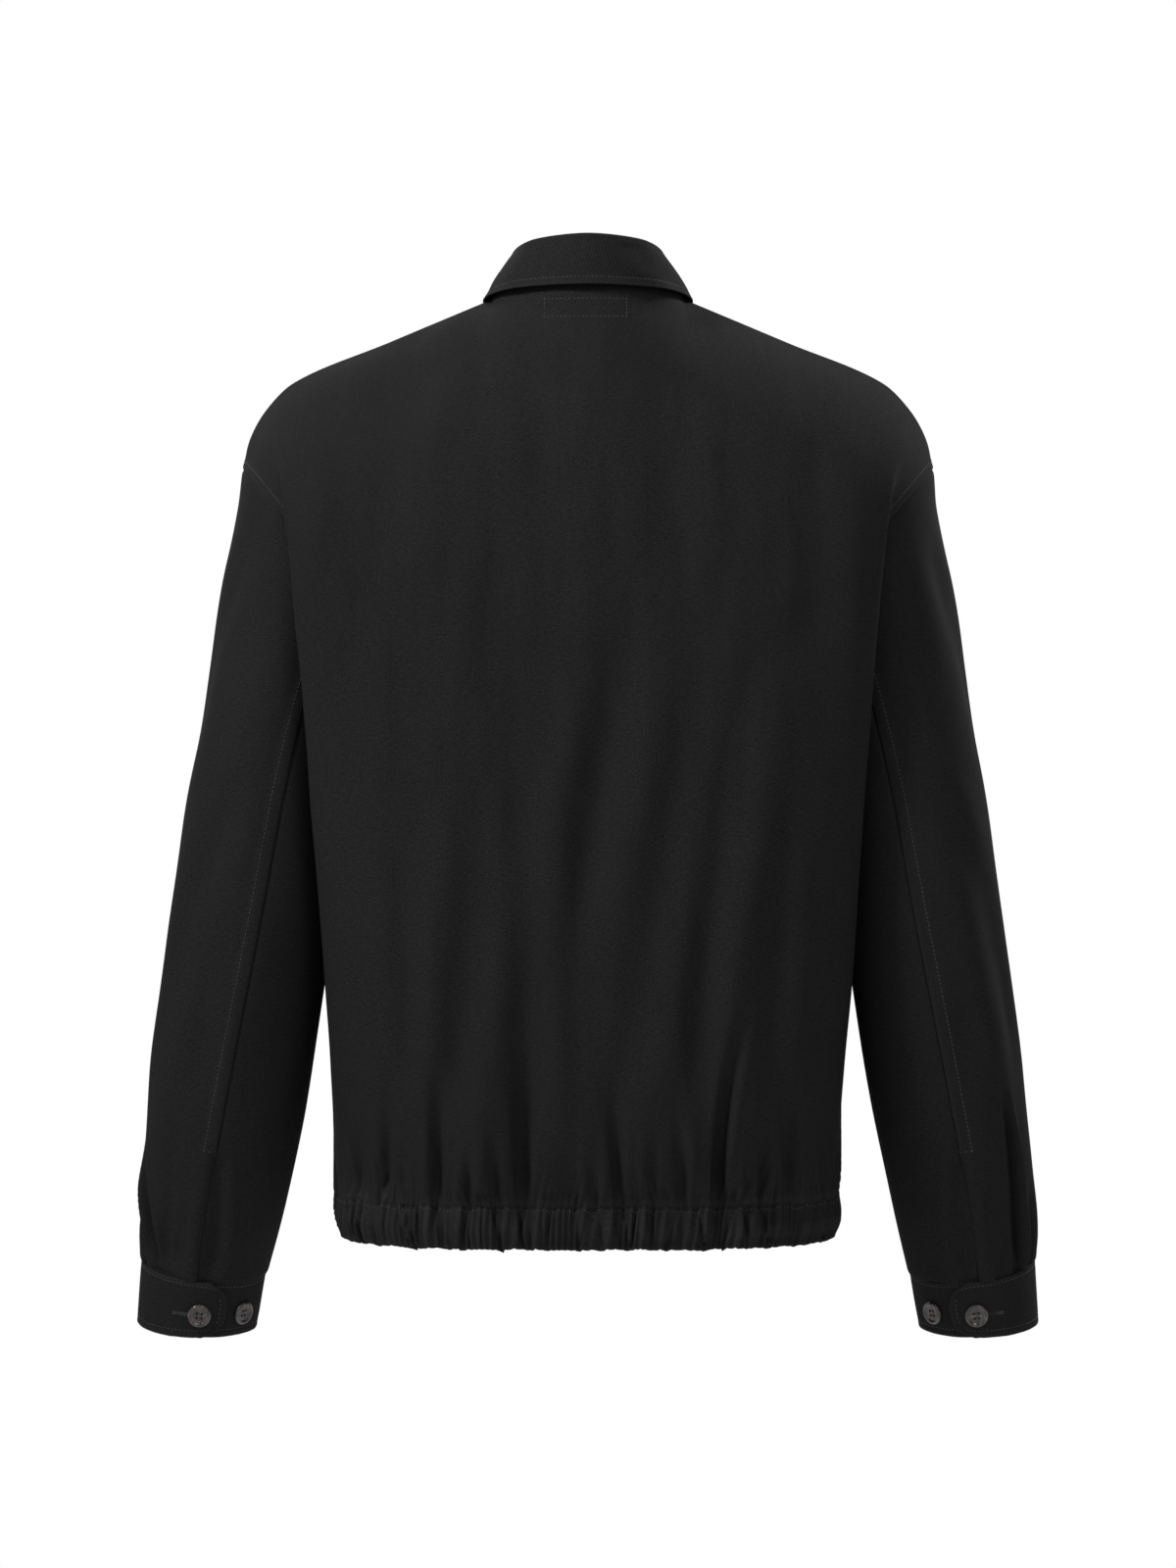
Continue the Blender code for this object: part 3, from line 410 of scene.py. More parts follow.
def curve_through(points: object, steps: list[int]) -> Array:
    """A curve through points, each coordinate a monotone cubic over the chord length.

    Args:
        points: What it runs through; further axes are curves worked out side by side.
        steps: Steps from each point to the next.

    Returns:
        The curve's points.
    """
    points = np.asarray(points, float)
    spans = np.maximum(np.linalg.norm(np.diff(points, axis=0), axis=-1, keepdims=True), 1e-9)
    slopes = np.diff(points, axis=0) / spans
    before, after = slopes[:-1], slopes[1:]
    alike = before * after > 0
    inner = np.where(alike, 2 * before * after / np.where(alike, before + after, 1), 0)
    tangents = np.concatenate([slopes[:1], inner, slopes[-1:]])
    curve = [points[:1]]
    for i, count in enumerate(steps):
        t = (np.arange(1, count + 1) / count).reshape((-1,) + (1,) * (points.ndim - 1))
        curve.append(
            points[i] * (1 + 2 * t) * (1 - t) ** 2
            + points[i + 1] * t * t * (3 - 2 * t)
            + tangents[i] * spans[i] * t * (1 - t) ** 2
            + tangents[i + 1] * spans[i] * t * t * (t - 1)
        )
    return np.concatenate(curve)


def relaxed(grid: Array, passes: int = 40) -> Array:
    """The grid with its bends spread evenly along both ways; its border stays.

    Args:
        grid: Rows and columns of points.
        passes: How often each point moves towards its neighbours.

    Returns:
        A new grid.
    """
    grid = grid.copy()
    for _ in range(passes):
        inside = grid[1:-1, 1:-1]
        along = grid[2:, 1:-1] + grid[:-2, 1:-1] - 2 * inside
        across = grid[1:-1, 2:] + grid[1:-1, :-2] - 2 * inside
        grid[1:-1, 1:-1] = inside + 0.2 * (along + across)
    return grid


def normals_of(grid: Array) -> Array:
    """Unit normals of a grid: its column direction crossed with its row direction."""
    return unit(np.cross(np.gradient(grid, axis=1), np.gradient(grid, axis=0)))


def mirrored(grid: Array) -> Array:
    """The grid on the other side of the body, its columns turned round so that it still faces out."""
    return (grid * BACKWARDS)[:, ::-1]


def sampled(values: Array, places: Array) -> Array:
    """Values between the entries of the first axis, on smooth curves through them.

    Args:
        values: What is known at 0, 1, 2 and so on.
        places: Where it is wanted, as fractions of those.

    Returns:
        The values there.
    """
    wide = np.concatenate([2 * values[:1] - values[1:2], values, 2 * values[-1:] - values[-2:-1]])
    low = np.clip(places.astype(int), 0, len(values) - 2)
    t = (places - low).reshape((-1,) + (1,) * (values.ndim - 1))
    a, b, c, d = (wide[low + i] for i in range(4))
    return b + t * (c - a + t * (2 * a - 5 * b + 4 * c - d + t * (3 * (b - c) + d - a))) / 2


def resampled(grid: Array, rows: Array, columns: Array) -> Array:
    """The grid's smooth surface at fractional rows and columns."""
    return sampled(sampled(grid, rows).swapaxes(0, 1), columns).swapaxes(0, 1)


def places(lengths: Array, step: float, fine: float, near: tuple[float, float]) -> Array:
    """Where to cut a line into steps that are finer near its ends.

    Args:
        lengths: The length walked at each of the line's points.
        step: The usual step.
        fine: The step near the ends.
        near: How far from the first and the last end the fine steps reach.

    Returns:
        Fractional indices into the line.
    """
    total = lengths[-1]
    first = np.linspace(0, near[0], round(near[0] / fine) + 1)[:-1]
    last = total - np.linspace(0, near[1], round(near[1] / fine) + 1)[:-1][::-1]
    middle = np.linspace(near[0], total - near[1], round((total - sum(near)) / step) + 1)
    return np.interp(np.concatenate([first, middle, last]), lengths, np.arange(len(lengths)))


def drape(across: Array, along: Array, seed: int, height: float, wide: float, tall: float) -> Array:
    """A gentle uneven swell, as cloth has where nothing pulls it.

    Args:
        across: Metres across the cloth at each point.
        along: Metres along it.
        seed: Which swell.
        height: Its usual height.
        wide: The usual width of a swell across.
        tall: Its usual length along.

    Returns:
        Heights at the points.
    """
    random = np.random.default_rng(seed)
    total = np.zeros_like(across)
    waves = 9
    for _ in range(waves):
        size = random.uniform(0.6, 1.8)
        turn = random.normal(0, 0.18)
        phase = random.uniform(0, 2 * pi)
        x = across * cos(turn) + along * sin(turn)
        z = along * cos(turn) - across * sin(turn)
        bend = np.sin(2 * pi * z / (tall * size) + phase * 3)
        total += size * np.sin(2 * pi * x / (wide * size) + phase + 0.9 * bend) * (0.75 + 0.25 * bend)
    return total * height / waves**0.5


@dataclass(frozen=True)
class Crease:
    """A soft trough with a low ridge on either side; a negative depth makes it a ridge."""

    start: tuple[float, float]  # across and along, in metres
    end: tuple[float, float]
    width: float
    depth: float
    bow: float = 0.0
    fades: tuple[float, float] = (0.5, 0.5)  # shares of its length over which it fades at either end

    def height(self, across: Array, along: Array) -> Array:
        """How far it lifts the cloth.

        Args:
            across: Metres across the cloth at each point.
            along: Metres along it.

        Returns:
            Heights at the points.
        """
        way = np.subtract(self.end, self.start)
        length = float(np.hypot(*way))
        x, z = across - self.start[0], along - self.start[1]
        t = (x * way[0] + z * way[1]) / length**2
        aside = (x * way[1] - z * way[0]) / length - self.bow * 4 * t * (1 - t)
        window = smoothstep(t / self.fades[0]) if self.fades[0] else (t > -0.2) * 1.0
        window = window * (smoothstep((1 - t) / self.fades[1]) if self.fades[1] else (t < 1.2) * 1.0)
        s = aside / (self.width * (0.85 + 0.35 * np.clip(t, 0, 1)))
        ridges = np.exp(-((s - 1.7) ** 2)) + np.exp(-((s + 1.7) ** 2))
        return self.depth * window * (0.4 * ridges - np.exp(-(s**2)))


@dataclass
class Panel:
    """A cloth piece as a grid of points on its outer face; rows and columns follow the weave."""

    name: str
    grid: Array
    # How pale each point is painted: rubbed at seams and edges, and painted light above the hem seam and on
    # the gathers' crests.
    wear: Array = field(default_factory=lambda: np.zeros((1, 1)))
    seam: Array | None = None  # its gathered edge's line before it is gathered

    def from_edge(self, edge: Edge) -> Array:
        """How far each point lies from an edge, along the cloth."""
        grid = self.facing(edge, self.grid)
        walked = lengths_of(grid, 0)
        way, along = grid - grid[:1], unit(np.gradient(grid[0], axis=0))
        straight = np.linalg.norm(way - (way * along).sum(axis=-1, keepdims=True) * along, axis=-1)
        far = smoothstep(walked / 0.02 - 1)
        away = straight * (1 - far) + walked * far
        if edge in (Edge.LAST_ROW, Edge.LAST_COLUMN):
            away = away[::-1]
        return away.swapaxes(0, 1) if edge in (Edge.FIRST_COLUMN, Edge.LAST_COLUMN) else away

    @staticmethod
    def facing(edge: Edge, values: Array) -> Array:
        """Values of the grid turned so that an edge is their first row."""
        if edge in (Edge.FIRST_COLUMN, Edge.LAST_COLUMN):
            values = values.swapaxes(0, 1)
        return values[::-1] if edge in (Edge.LAST_ROW, Edge.LAST_COLUMN) else values

    def lift(self, heights: Array) -> None:
        """Moves every point outwards by its height."""
        self.grid = self.grid + normals_of(self.grid) * heights[..., None]

    def paint_wear_and_light(self, amount: Array) -> None:
        """Paints the cloth paler where it is rubbed, and as painted light."""
        self.wear = np.maximum(self.wear, amount)

    def ditch(self, edge: Edge, depth: float = 0.0007, width: float = 0.0013) -> None:
        """Turns an edge in, as it is where it is sewn to its neighbour.

        Args:
            edge: The sewn edge.
            depth: How far it is drawn in.
            width: How far the turn reaches.
        """
        self.lift(-depth * bell(self.from_edge(edge), width))

    def fell(self, edge: Edge, stitch: float, height: float = 0.0005, rows: slice = slice(None)) -> None:
        """Raises the strip over a seam's turnings, with the stitching pulled in at its far side.

        Args:
            edge: The sewn edge.
            stitch: From the edge to the stitching.
            height: How far the turnings lift the cloth.
            rows: The rows, or columns, that it runs along.
        """
        away = self.from_edge(edge)
        raised = height * (1 - smoothstep((away - stitch - 0.0006) / 0.0022)) * smoothstep(away / 0.0016)
        pulled = 0.0004 * bell(away - stitch, 0.0011)
        rubbed = 0.30 * bell(away, 0.0022) + 0.12 * bell(away - stitch, 0.0030)
        mask = np.zeros(away.shape)
        mask[rows if edge in (Edge.FIRST_COLUMN, Edge.LAST_COLUMN) else (slice(None), rows)] = 1
        self.lift((raised - pulled) * mask)
        self.paint_wear_and_light(rubbed * mask)

    def line(
        self, edge: Edge, inside: float, start: float = 0.0, stop: float = 1.0, lift: float = 0.0
    ) -> Line:
        """A line on the cloth at a distance from an edge.

        Args:
            edge: The edge that it follows.
            inside: Its distance from the edge.
            start: Where it starts, as a share of the edge.
            stop: Where it ends.
            lift: How far off the cloth it lies.

        Returns:
            Its points and outward directions.
        """
        grid, ups = self.facing(edge, self.grid), self.facing(edge, normals_of(self.grid))
        walked = self.facing(edge, self.from_edge(edge))
        first, last = round(start * (grid.shape[1] - 1)), round(stop * (grid.shape[1] - 1))
        points, directions = [], []
        for i in range(first, last + 1):
            place = np.interp(inside, walked[:, i], np.arange(len(walked)))
            low = min(int(place), len(walked) - 2)
            t = place - low
            up = unit(ups[low, i] * (1 - t) + ups[low + 1, i] * t)
            points.append(grid[low, i] * (1 - t) + grid[low + 1, i] * t + up * lift)
            directions.append(up)
        return np.array(points), np.array(directions)

    def mirrored(self, name: str) -> "Panel":
        """The same piece for the other side of the body."""
        wear = np.broadcast_to(self.wear, self.grid.shape[:2])[:, ::-1]
        return Panel(name, mirrored(self.grid), wear)


def flipped(lines: list[Line]) -> list[Line]:
    """The lines on the other side of the body."""
    return [(points * BACKWARDS, ups * BACKWARDS) for points, ups in lines]


def shell(
    panel: Panel, thickness: float, finish: Finish, replaces: list[str]
) -> bpy.types.Object:
    """A closed thin shell with rounded rims, below a panel's outer face.

    Args:
        panel: The cloth piece.
        thickness: Of its cloth.
        finish: What it is made of.
        replaces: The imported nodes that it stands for.

    Returns:
        The piece, on the jacket.
    """
    outer = panel.grid
    inner = outer - normals_of(outer) * thickness
    rows, columns = outer.shape[:2]
    index = np.arange(rows * columns).reshape(rows, columns)
    away, turned = np.zeros_like(outer), outer.swapaxes(0, 1)
    turned_away = away.swapaxes(0, 1)
    for grid, out in (
        (outer, away), (outer[::-1], away[::-1]), (turned, turned_away), (turned[::-1], turned_away[::-1])
    ):
        out[0] += unit(grid[0] - grid[1])
    rim = np.concatenate([index[0, :-1], index[:-1, -1], index[-1, :0:-1], index[:0:-1, 0]])
    middle = ((outer + inner) / 2 + unit(away) * thickness * 0.38).reshape(-1, 3)[rim]
    after, far = np.roll(rim, -1), rows * columns
    mid = 2 * far + np.arange(len(rim))
    mid_after = np.roll(mid, -1)
    quads = np.stack(
        [index[:-1, :-1], index[:-1, 1:], index[1:, 1:], index[1:, :-1]], axis=-1
    ).reshape(-1, 4)
    faces = np.concatenate([
        quads,
        quads[:, ::-1] + far,
        np.stack([after, rim, mid, mid_after], axis=-1),
        np.stack([mid_after, mid, rim + far, after + far], axis=-1),
    ])
    points = np.concatenate([outer.reshape(-1, 3), inner.reshape(-1, 3), middle])
    flat = np.stack(
        [
            lengths_of(outer, 1),
            lengths_of(outer, 0)[:, columns // 2 : columns // 2 + 1] + np.zeros((rows, columns)),
        ],
        axis=-1,
    )
    flat = flat.reshape(-1, 2)
    wear = np.broadcast_to(panel.wear, (rows, columns)).reshape(-1)
    return piece_of(
        panel.name, points, faces, finish, replaces,
        flat=np.concatenate([flat, flat, flat[rim]]), wear=np.concatenate([wear, wear, wear[rim]]),
    )


def piece_of(
    name: str, points: Array, faces: Array, finish: Finish, replaces: list[str],
    flat: Array | None = None, wear: Array | None = None, body: str = JACKET,
) -> bpy.types.Object:
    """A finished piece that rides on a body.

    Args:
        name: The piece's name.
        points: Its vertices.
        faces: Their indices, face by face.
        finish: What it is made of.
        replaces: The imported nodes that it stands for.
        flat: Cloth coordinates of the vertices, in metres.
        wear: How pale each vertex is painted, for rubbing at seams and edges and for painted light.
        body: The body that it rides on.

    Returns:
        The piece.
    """
    mesh = bpy.data.meshes.new(name)
    mesh.from_pydata(np.asarray(points).tolist(), [], np.asarray(faces).tolist())
    mesh.shade_smooth()
    mesh.materials.append(finish.material())
    if flat is not None:
        corners = np.zeros(len(mesh.loops), np.int32)
        mesh.loops.foreach_get("vertex_index", corners)
        mesh.uv_layers.new(name="cloth").data.foreach_set("uv", flat[corners].astype(np.float32).ravel())
    if wear is not None:
        mesh.attributes.new("wear", "FLOAT", "POINT").data.foreach_set("value", wear.astype(np.float32))
    return seat(shown(name, mesh), replaces, body)


def shown(name: str, data: bpy.types.ID) -> bpy.types.Object:
    """An object of the scene with this mesh, light or camera."""
    obj = bpy.data.objects.new(name, data)
    bpy.context.scene.collection.objects.link(obj)
    return obj


def seat(obj: bpy.types.Object, replaces: list[str], body: str = JACKET) -> bpy.types.Object:
    """Puts a piece on its body, and hides the imported parts that it stands for."""
    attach(obj, body)
    if replaces:
        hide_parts(*replaces)
    log.info("%s: %d faces", obj.name, len(obj.data.polygons))
    return obj


# ---------------------------------------------------------------- what repeats along a line
class RowTree:
    """Geometry Nodes that set one small piece after another along lines on a surface."""

    def __init__(self) -> None:
        """Builds the tree with its named inputs."""
        tree = bpy.data.node_groups.new("row_along_a_line", "GeometryNodeTree")
        sockets = (
            ("Geometry", "NodeSocketGeometry"), ("Piece", "NodeSocketObject"), ("Pitch", "NodeSocketFloat"),
            ("Unevenness", "NodeSocketFloat"), ("Finish", "NodeSocketMaterial"),
        )
        self.inputs = {
            name: tree.interface.new_socket(
                name=name, in_out="INPUT", socket_type=kind
            ) for name, kind in sockets
        }
        tree.interface.new_socket(name="Geometry", in_out="OUTPUT", socket_type="NodeSocketGeometry")
        given = add_node(tree, "NodeGroupInput").outputs
        line = add_node(tree, "GeometryNodeMeshToCurve", {"Mesh": given["Geometry"]})
        cut = add_node(
            tree, "GeometryNodeResampleCurve", {"Curve": line.outputs[0], "Length": given["Pitch"]},
            mode="LENGTH",
        )
        up = add_node(tree, "GeometryNodeInputNamedAttribute", {"Name": "up"}, data_type="FLOAT_VECTOR")
        tangent = add_node(tree, "GeometryNodeInputTangent")
        frame_at = add_node(
            tree, "FunctionNodeAxesToRotation", {0: tangent.outputs[0], 1: up.outputs["Attribute"]},
            primary_axis="X", secondary_axis="Z",
        )
        spread = add_node(tree, MATH, {0: given["Unevenness"], 1: -1.0}, operation="MULTIPLY")
        wobble = add_node(
            tree, "FunctionNodeRandomValue",
            {"Min": spread.outputs[0], "Max": given["Unevenness"], "Seed": 7}, data_type="FLOAT",
        )
        angles = add_node(tree, "ShaderNodeCombineXYZ", {"Z": wobble.outputs[1]})
        turn = add_node(tree, "FunctionNodeEulerToRotation", {0: angles.outputs[0]})
        both = add_node(
            tree, "FunctionNodeRotateRotation", {0: frame_at.outputs[0], 1: turn.outputs[0]},
            rotation_space="LOCAL",
        )
        piece = add_node(
            tree, "GeometryNodeObjectInfo", {"Object": given["Piece"]}, transform_space="ORIGINAL"
        )
        placed = add_node(
            tree, "GeometryNodeInstanceOnPoints",
            {"Points": cut.outputs[0], "Instance": piece.outputs["Geometry"], "Rotation": both.outputs[0]},
        )
        real = add_node(tree, "GeometryNodeRealizeInstances", {"Geometry": placed.outputs[0]})
        dressed = add_node(
            tree, "GeometryNodeSetMaterial", {"Geometry": real.outputs[0], "Material": given["Finish"]}
        )
        add_node(tree, "NodeGroupOutput", {"Geometry": dressed.outputs[0]})
        self.tree = tree

    def along(
        self, name: str, lines: list[Line], piece: bpy.types.Object, pitch: float, finish: Finish,
        slot: Slot = Slot.TWILL, uneven: float = 0.06, body: str = JACKET,
    ) -> bpy.types.Object:
        """Sets a small piece along lines.

        Args:
            name: The finished row's name.
            lines: Where it runs.
            piece: The small piece, its length along X and its top up Z.
            pitch: From one to the next.
            finish: What the pieces are made of.
            slot: The record's slot. Not used.
            uneven: How far they turn from the line, in radians.
            body: The body that they ride on.

        Returns:
            The row as one plain mesh.
        """
        points = np.concatenate([line for line, _ in lines])
        ups = np.concatenate([up for _, up in lines])
        edges, start = [], 0
        for line, _ in lines:
            edges += [(start + i, start + i + 1) for i in range(len(line) - 1)]
            start += len(line)
        mesh = bpy.data.meshes.new("lines")
        mesh.from_pydata(points.tolist(), edges, [])
        mesh.attributes.new("up", "FLOAT_VECTOR", "POINT").data.foreach_set(
            "vector", ups.astype(np.float32).ravel()
        )
        guide = shown("guide", mesh)
        modifier = guide.modifiers.new("row", "NODES")
        modifier.node_group = self.tree
        values = {"Piece": piece, "Pitch": pitch, "Unevenness": uneven, "Finish": finish.material()}
        for key, value in values.items():
            modifier[self.inputs[key].identifier] = value
        graph = bpy.context.evaluated_depsgraph_get()
        made = bpy.data.meshes.new_from_object(guide.evaluated_get(graph))
        made.name = name
        bpy.data.objects.remove(guide)
        made.materials.clear()
        made.materials.append(finish.material())
        made.shade_smooth()
        return seat(shown(name, made), [], body)


def bead(name: str, length: float, width: float, height: float, sink: float = 0.3) -> bpy.types.Object:
    """A small arched bead such as a stitch, lying along X; it is only a pattern for rows and isn't shown.

    Args:
        name: Its name.
        length: From end to end.
        width: Across.
        height: Above the cloth.
        sink: How far its ends go into the cloth, as a share of its height.

    Returns:
        The pattern.
    """
    points, faces, sides = [], [], 4
    stations = ((-0.5, 0.25, -sink), (-0.3, 0.9, 0.25), (0.3, 0.9, 0.25), (0.5, 0.25, -sink))
    for x, size, z in stations:
        for k in range(sides):
            turn = 2 * pi * k / sides
            points.append(
                (x * length, cos(turn) * width / 2 * size, z * height + sin(turn) * height / 2 * size)
            )
    for ring in range(len(stations) - 1):
        for k in range(sides):
            a, b = ring * sides + k, ring * sides + (k + 1) % sides
            faces.append((a, b, b + sides, a + sides))
    faces += [tuple(range(sides))[::-1], tuple(range(len(points) - sides, len(points)))]
    return pattern_of(name, points, faces)


def pattern_of(name: str, points: list[Point], faces: list[tuple[int, ...]]) -> bpy.types.Object:
    """An object that only serves as a pattern, outside the scene."""
    mesh = bpy.data.meshes.new(name)
    mesh.from_pydata(points, [], faces)
    bm = bmesh.new()
    bm.from_mesh(mesh)
    bmesh.ops.recalc_face_normals(bm, faces=bm.faces)
    bm.to_mesh(mesh)
    bm.free()
    return bpy.data.objects.new(name, mesh)


@dataclass
class Sewing:
    """The threads of the jacket: what each kind of stitch looks like."""

    rows: RowTree
    pitch: float = 0.0030  # eight or nine stitches to the inch
    length: float = 0.0018
    thread: float = 0.00046

    def __post_init__(self) -> None:
        """Makes the stitch patterns."""
        self.stitch = bead("stitch", self.length, self.thread, self.thread * 0.8)
        self.bar = bead("buttonhole_stitch", 0.0011, 0.00046, 0.0004)
        self.bar.data.transform(Matrix.Rotation(pi / 2, 4, "Z"))
        self.slit = bead("buttonhole_slit", 0.0012, 0.0004, 0.0003)
        self.strand = bead("button_strand", 0.0009, 0.00038, 0.00038, sink=0.0)

    def topstitch(self, name: str, lines: list[Line]) -> bpy.types.Object:
        """Topstitching along lines.

        Args:
            name: The piece's name.
            lines: Where it runs.

        Returns:
            The stitches.
        """
        return self.rows.along(name, lines, self.stitch, self.pitch, THREAD)


# ---------------------------------------------------------------- body
@dataclass(frozen=True)
class Section:
    """Half a body panel at one height, from its centre line to its side edge."""

    centre: Point
    neck: Point
    blade: Point
    lip: Point
    turn: Point
    edge: Point


@dataclass(frozen=True)
class Fold:
    """A soft trough that rises from the hem: where it starts and fades, its width and its depth."""

    x: float
    top_x: float
    top_z: float
    width: float
    depth: float


@dataclass
class Gathers:
    """Uneven gathers along an elastic seam, each with its own width, size and lean."""

    start: float
    length: float
    count: int
    seed: int
    depth: float = 0.0046
    fine: float = 0.0058  # from one small pucker to the next
    wave: float = 0.0030  # how far they move the seam up and down

    def __post_init__(self) -> None:
        """Draws the gathers."""
        random = np.random.default_rng(self.seed)
        widths = random.uniform(0.45, 1.7, self.count)
        room = self.length - self.start
        self.stops = self.start + np.concatenate([[0], np.cumsum(widths / widths.sum())]) * room
        lean = random.normal(0, 0.70, self.count + 1) * room / self.count
        lean[[0, -1]] = 0
        self.low_stops = np.maximum.accumulate(self.stops + lean)
        self.sizes = random.uniform(0.5, 1.3, self.count)
        self.skews = np.exp(random.uniform(-0.8, 0.8, self.count))
        self.rises = random.uniform(0.006, 0.026, self.count)

    def lift(self, along: Array, down: float = 0.0, above: Array | float = 0.0) -> Array:
        """How far the gathers lift the cloth.

        Args:
            along: Metres along the seam.
            down: Share of the way down the band.
            above: Metres above the seam.

        Returns:
            Heights, 0 on average.
        """
        stops = self.stops * (1 - down) + self.low_stops * down
        which = np.clip(np.searchsorted(stops, along) - 1, 0, self.count - 1)
        t = np.clip((along - stops[which]) / np.maximum(stops[which + 1] - stops[which], 1e-5), 0, 1)
        ridge = self.sizes[which] * np.sin(pi * t ** self.skews[which]) ** 0.48 - 0.66
        slant = above / 0.018 * np.sin(along * 47)
        pucker = 0.24 * np.sin(2 * pi * (along / self.fine + 0.7 * np.sin(along * 110) + slant) + 3 * down)
        begun = smoothstep((along - self.start) / 0.006 + (self.start == 0))
        return self.depth * (ridge + pucker) * (np.exp(-above / self.rises[which]) * begun)

    def wander(self, along: Array) -> Array:
        """How far they move the seam up."""
        return self.wave * self.lift(along) / self.depth

    def crest_wear_and_highlight(self, lift: Array) -> Array:
        """How pale the gathers' crests are painted: rubbed, and a painted highlight where they catch the
        light.
        """
        return 0.5 * smoothstep(lift / self.depth * 1.5) ** 2


@dataclass
class Body:
    """The back and the two fronts: a boxy body whose back and fronts fold out over the armholes."""

    hem_seam: float = -0.6400
    front_open: float = 0.0052
    armpit: Point = (0.155, 0.0, -0.225)
    shoulder_end: Point = (0.2464, 0.0, -0.1225)
    armhole_depth: float = 0.074
    fine: int = 6
    row_steps: tuple[int, ...] = (2, 3, 2, 2, 3, 3, 2, 1, 1)
    column_steps: tuple[int, ...] = (6, 6, 4)
    turn_steps: int = 6
    neck_blend: float = 0.78
    cloth: float = 0.0015
    side_stitch: float = 0.0060
    zip_stitch: float = 0.0075
    label: tuple[float, float, float, float] = (-0.0270, 0.0305, -0.0200, -0.0068)  # left, right, low, high

    def __post_init__(self) -> None:
        """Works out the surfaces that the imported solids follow."""
        side = (0.1785, 0, self.hem_seam)
        hem, rib, waist, chest, under = self.hem_seam, -0.600, -0.490, -0.360, -0.245
        back = (
            Section(
                (0, 0.1120, hem), (0.066, 0.1105, hem), (0.128, 0.0930, hem), (0.1715, 0.0420, hem),
                (0.1785, 0.0180, hem), side,
            ),
            Section(
                (0, 0.1280, rib), (0.068, 0.1265, rib), (0.132, 0.1080, rib), (0.1745, 0.0480, rib),
                (0.1825, 0.0190, rib), (0.1812, 0, rib),
            ),
            Section(
                (0, 0.1265, waist), (0.070, 0.1250, waist), (0.140, 0.1090, waist),
                (0.1860, 0.0560, waist), (0.1865, 0.0240, waist), (0.1805, 0, waist),
            ),
            Section(
                (0, 0.1230, chest), (0.072, 0.1215, chest), (0.145, 0.1110, chest),
                (0.1960, 0.0780, chest), (0.1630, 0.0710, chest), (0.1560, 0, chest),
            ),
            Section(
                (0, 0.1220, under), (0.074, 0.1205, under), (0.147, 0.1130, under),
                (0.2065, 0.0885, -0.242), (0.1560, 0.0890, -0.238), self.armhole(0),
            ),
            Section(
                (0, 0.1190, -0.170), (0.074, 0.1165, -0.175), (0.147, 0.1095, -0.180),
                (0.2105, 0.0890, -0.190), (0.1900, 0.0830, -0.192), self.armhole(54),
            ),
            Section(
                (0, 0.1090, -0.105), (0.073, 0.1050, -0.112), (0.146, 0.0990, -0.125),
                (0.2143, 0.0835, -0.146), (0.2040, 0.0800, -0.152), self.armhole(108),
            ),
            Section(
                (0, 0.0940, -0.050), (0.071, 0.0840, -0.060), (0.144, 0.0750, -0.078),
                (0.2172, 0.0610, -0.106), (0.2270, 0.0575, -0.120), self.armhole(144),
            ),
            Section(
                (0, 0.0780, -0.012), (0.069, 0.0460, -0.019), (0.143, 0.0360, -0.041),
                (0.2190, 0.0300, -0.078), (0.2405, 0.0290, -0.097), self.armhole(162),
            ),
            Section(
                (0, 0.0660, 0.009), (0.068, -0.004, 0.001), (0.142, -0.004, -0.030),
                (0.2120, -0.004, -0.0600), (0.2440, -0.002, -0.086), self.armhole(180),
            ),
        )
        cf = self.front_open
        front = (
            Section(
                (cf, -0.1180, hem), (0.066, -0.1150, hem), (0.128, -0.0960, hem), (0.1700, -0.0480, hem),
                (0.1785, -0.0200, hem), side,
            ),
            Section(
                (cf, -0.1350, rib), (0.068, -0.1320, rib), (0.132, -0.1110, rib), (0.1730, -0.0540, rib),
                (0.1825, -0.0210, rib), (0.1812, 0, rib),
            ),
            Section(
                (cf, -0.1330, waist), (0.070, -0.1300, waist), (0.138, -0.1120, waist),
                (0.1780, -0.0640, waist), (0.1840, -0.0270, waist), (0.1805, 0, waist),
            ),
            Section(
                (cf, -0.1300, chest), (0.073, -0.1265, chest), (0.140, -0.1120, chest),
                (0.1860, -0.0800, chest), (0.1600, -0.0710, chest), (0.1560, 0, chest),
            ),
            Section(
                (cf, -0.1270, under), (0.076, -0.1240, under), (0.142, -0.1110, under),
                (0.1980, -0.0850, -0.242), (0.1550, -0.0840, -0.238), self.armhole(0),
            ),
            Section(
                (cf, -0.1220, -0.195), (0.076, -0.1165, -0.185), (0.142, -0.1050, -0.182),
                (0.2030, -0.0850, -0.188), (0.1890, -0.0800, -0.192), self.armhole(-54),
            ),
            Section(
                (cf, -0.1130, -0.145), (0.075, -0.1030, -0.122), (0.142, -0.0930, -0.122),
                (0.2090, -0.0790, -0.142), (0.2060, -0.0780, -0.152), self.armhole(-108),
            ),
            Section(
                (cf, -0.1000, -0.105), (0.073, -0.0800, -0.064), (0.142, -0.0700, -0.077),
                (0.2130, -0.0600, -0.102), (0.2250, -0.0580, -0.117), self.armhole(-144),
            ),
            Section(
                (cf, -0.0880, -0.076), (0.070, -0.0460, -0.021), (0.142, -0.0380, -0.041),
                (0.2170, -0.0330, -0.076), (0.2405, -0.0310, -0.096), self.armhole(-162),
            ),
            Section(
                (cf, -0.0780, -0.055), (0.068, -0.004, 0.001), (0.142, -0.004, -0.030),
                (0.2120, -0.004, -0.0600), (0.2440, -0.002, -0.086), self.armhole(180),
            ),
        )
        half = self.half(back)
        whole = np.concatenate([half[:, ::-1], (half * BACKWARDS)[:, 1:]], axis=1)
        self.back = self.folded(relaxed(whole), BACK_FOLDS)
        self.front = self.folded(relaxed(self.half(front)), FRONT_FOLDS)

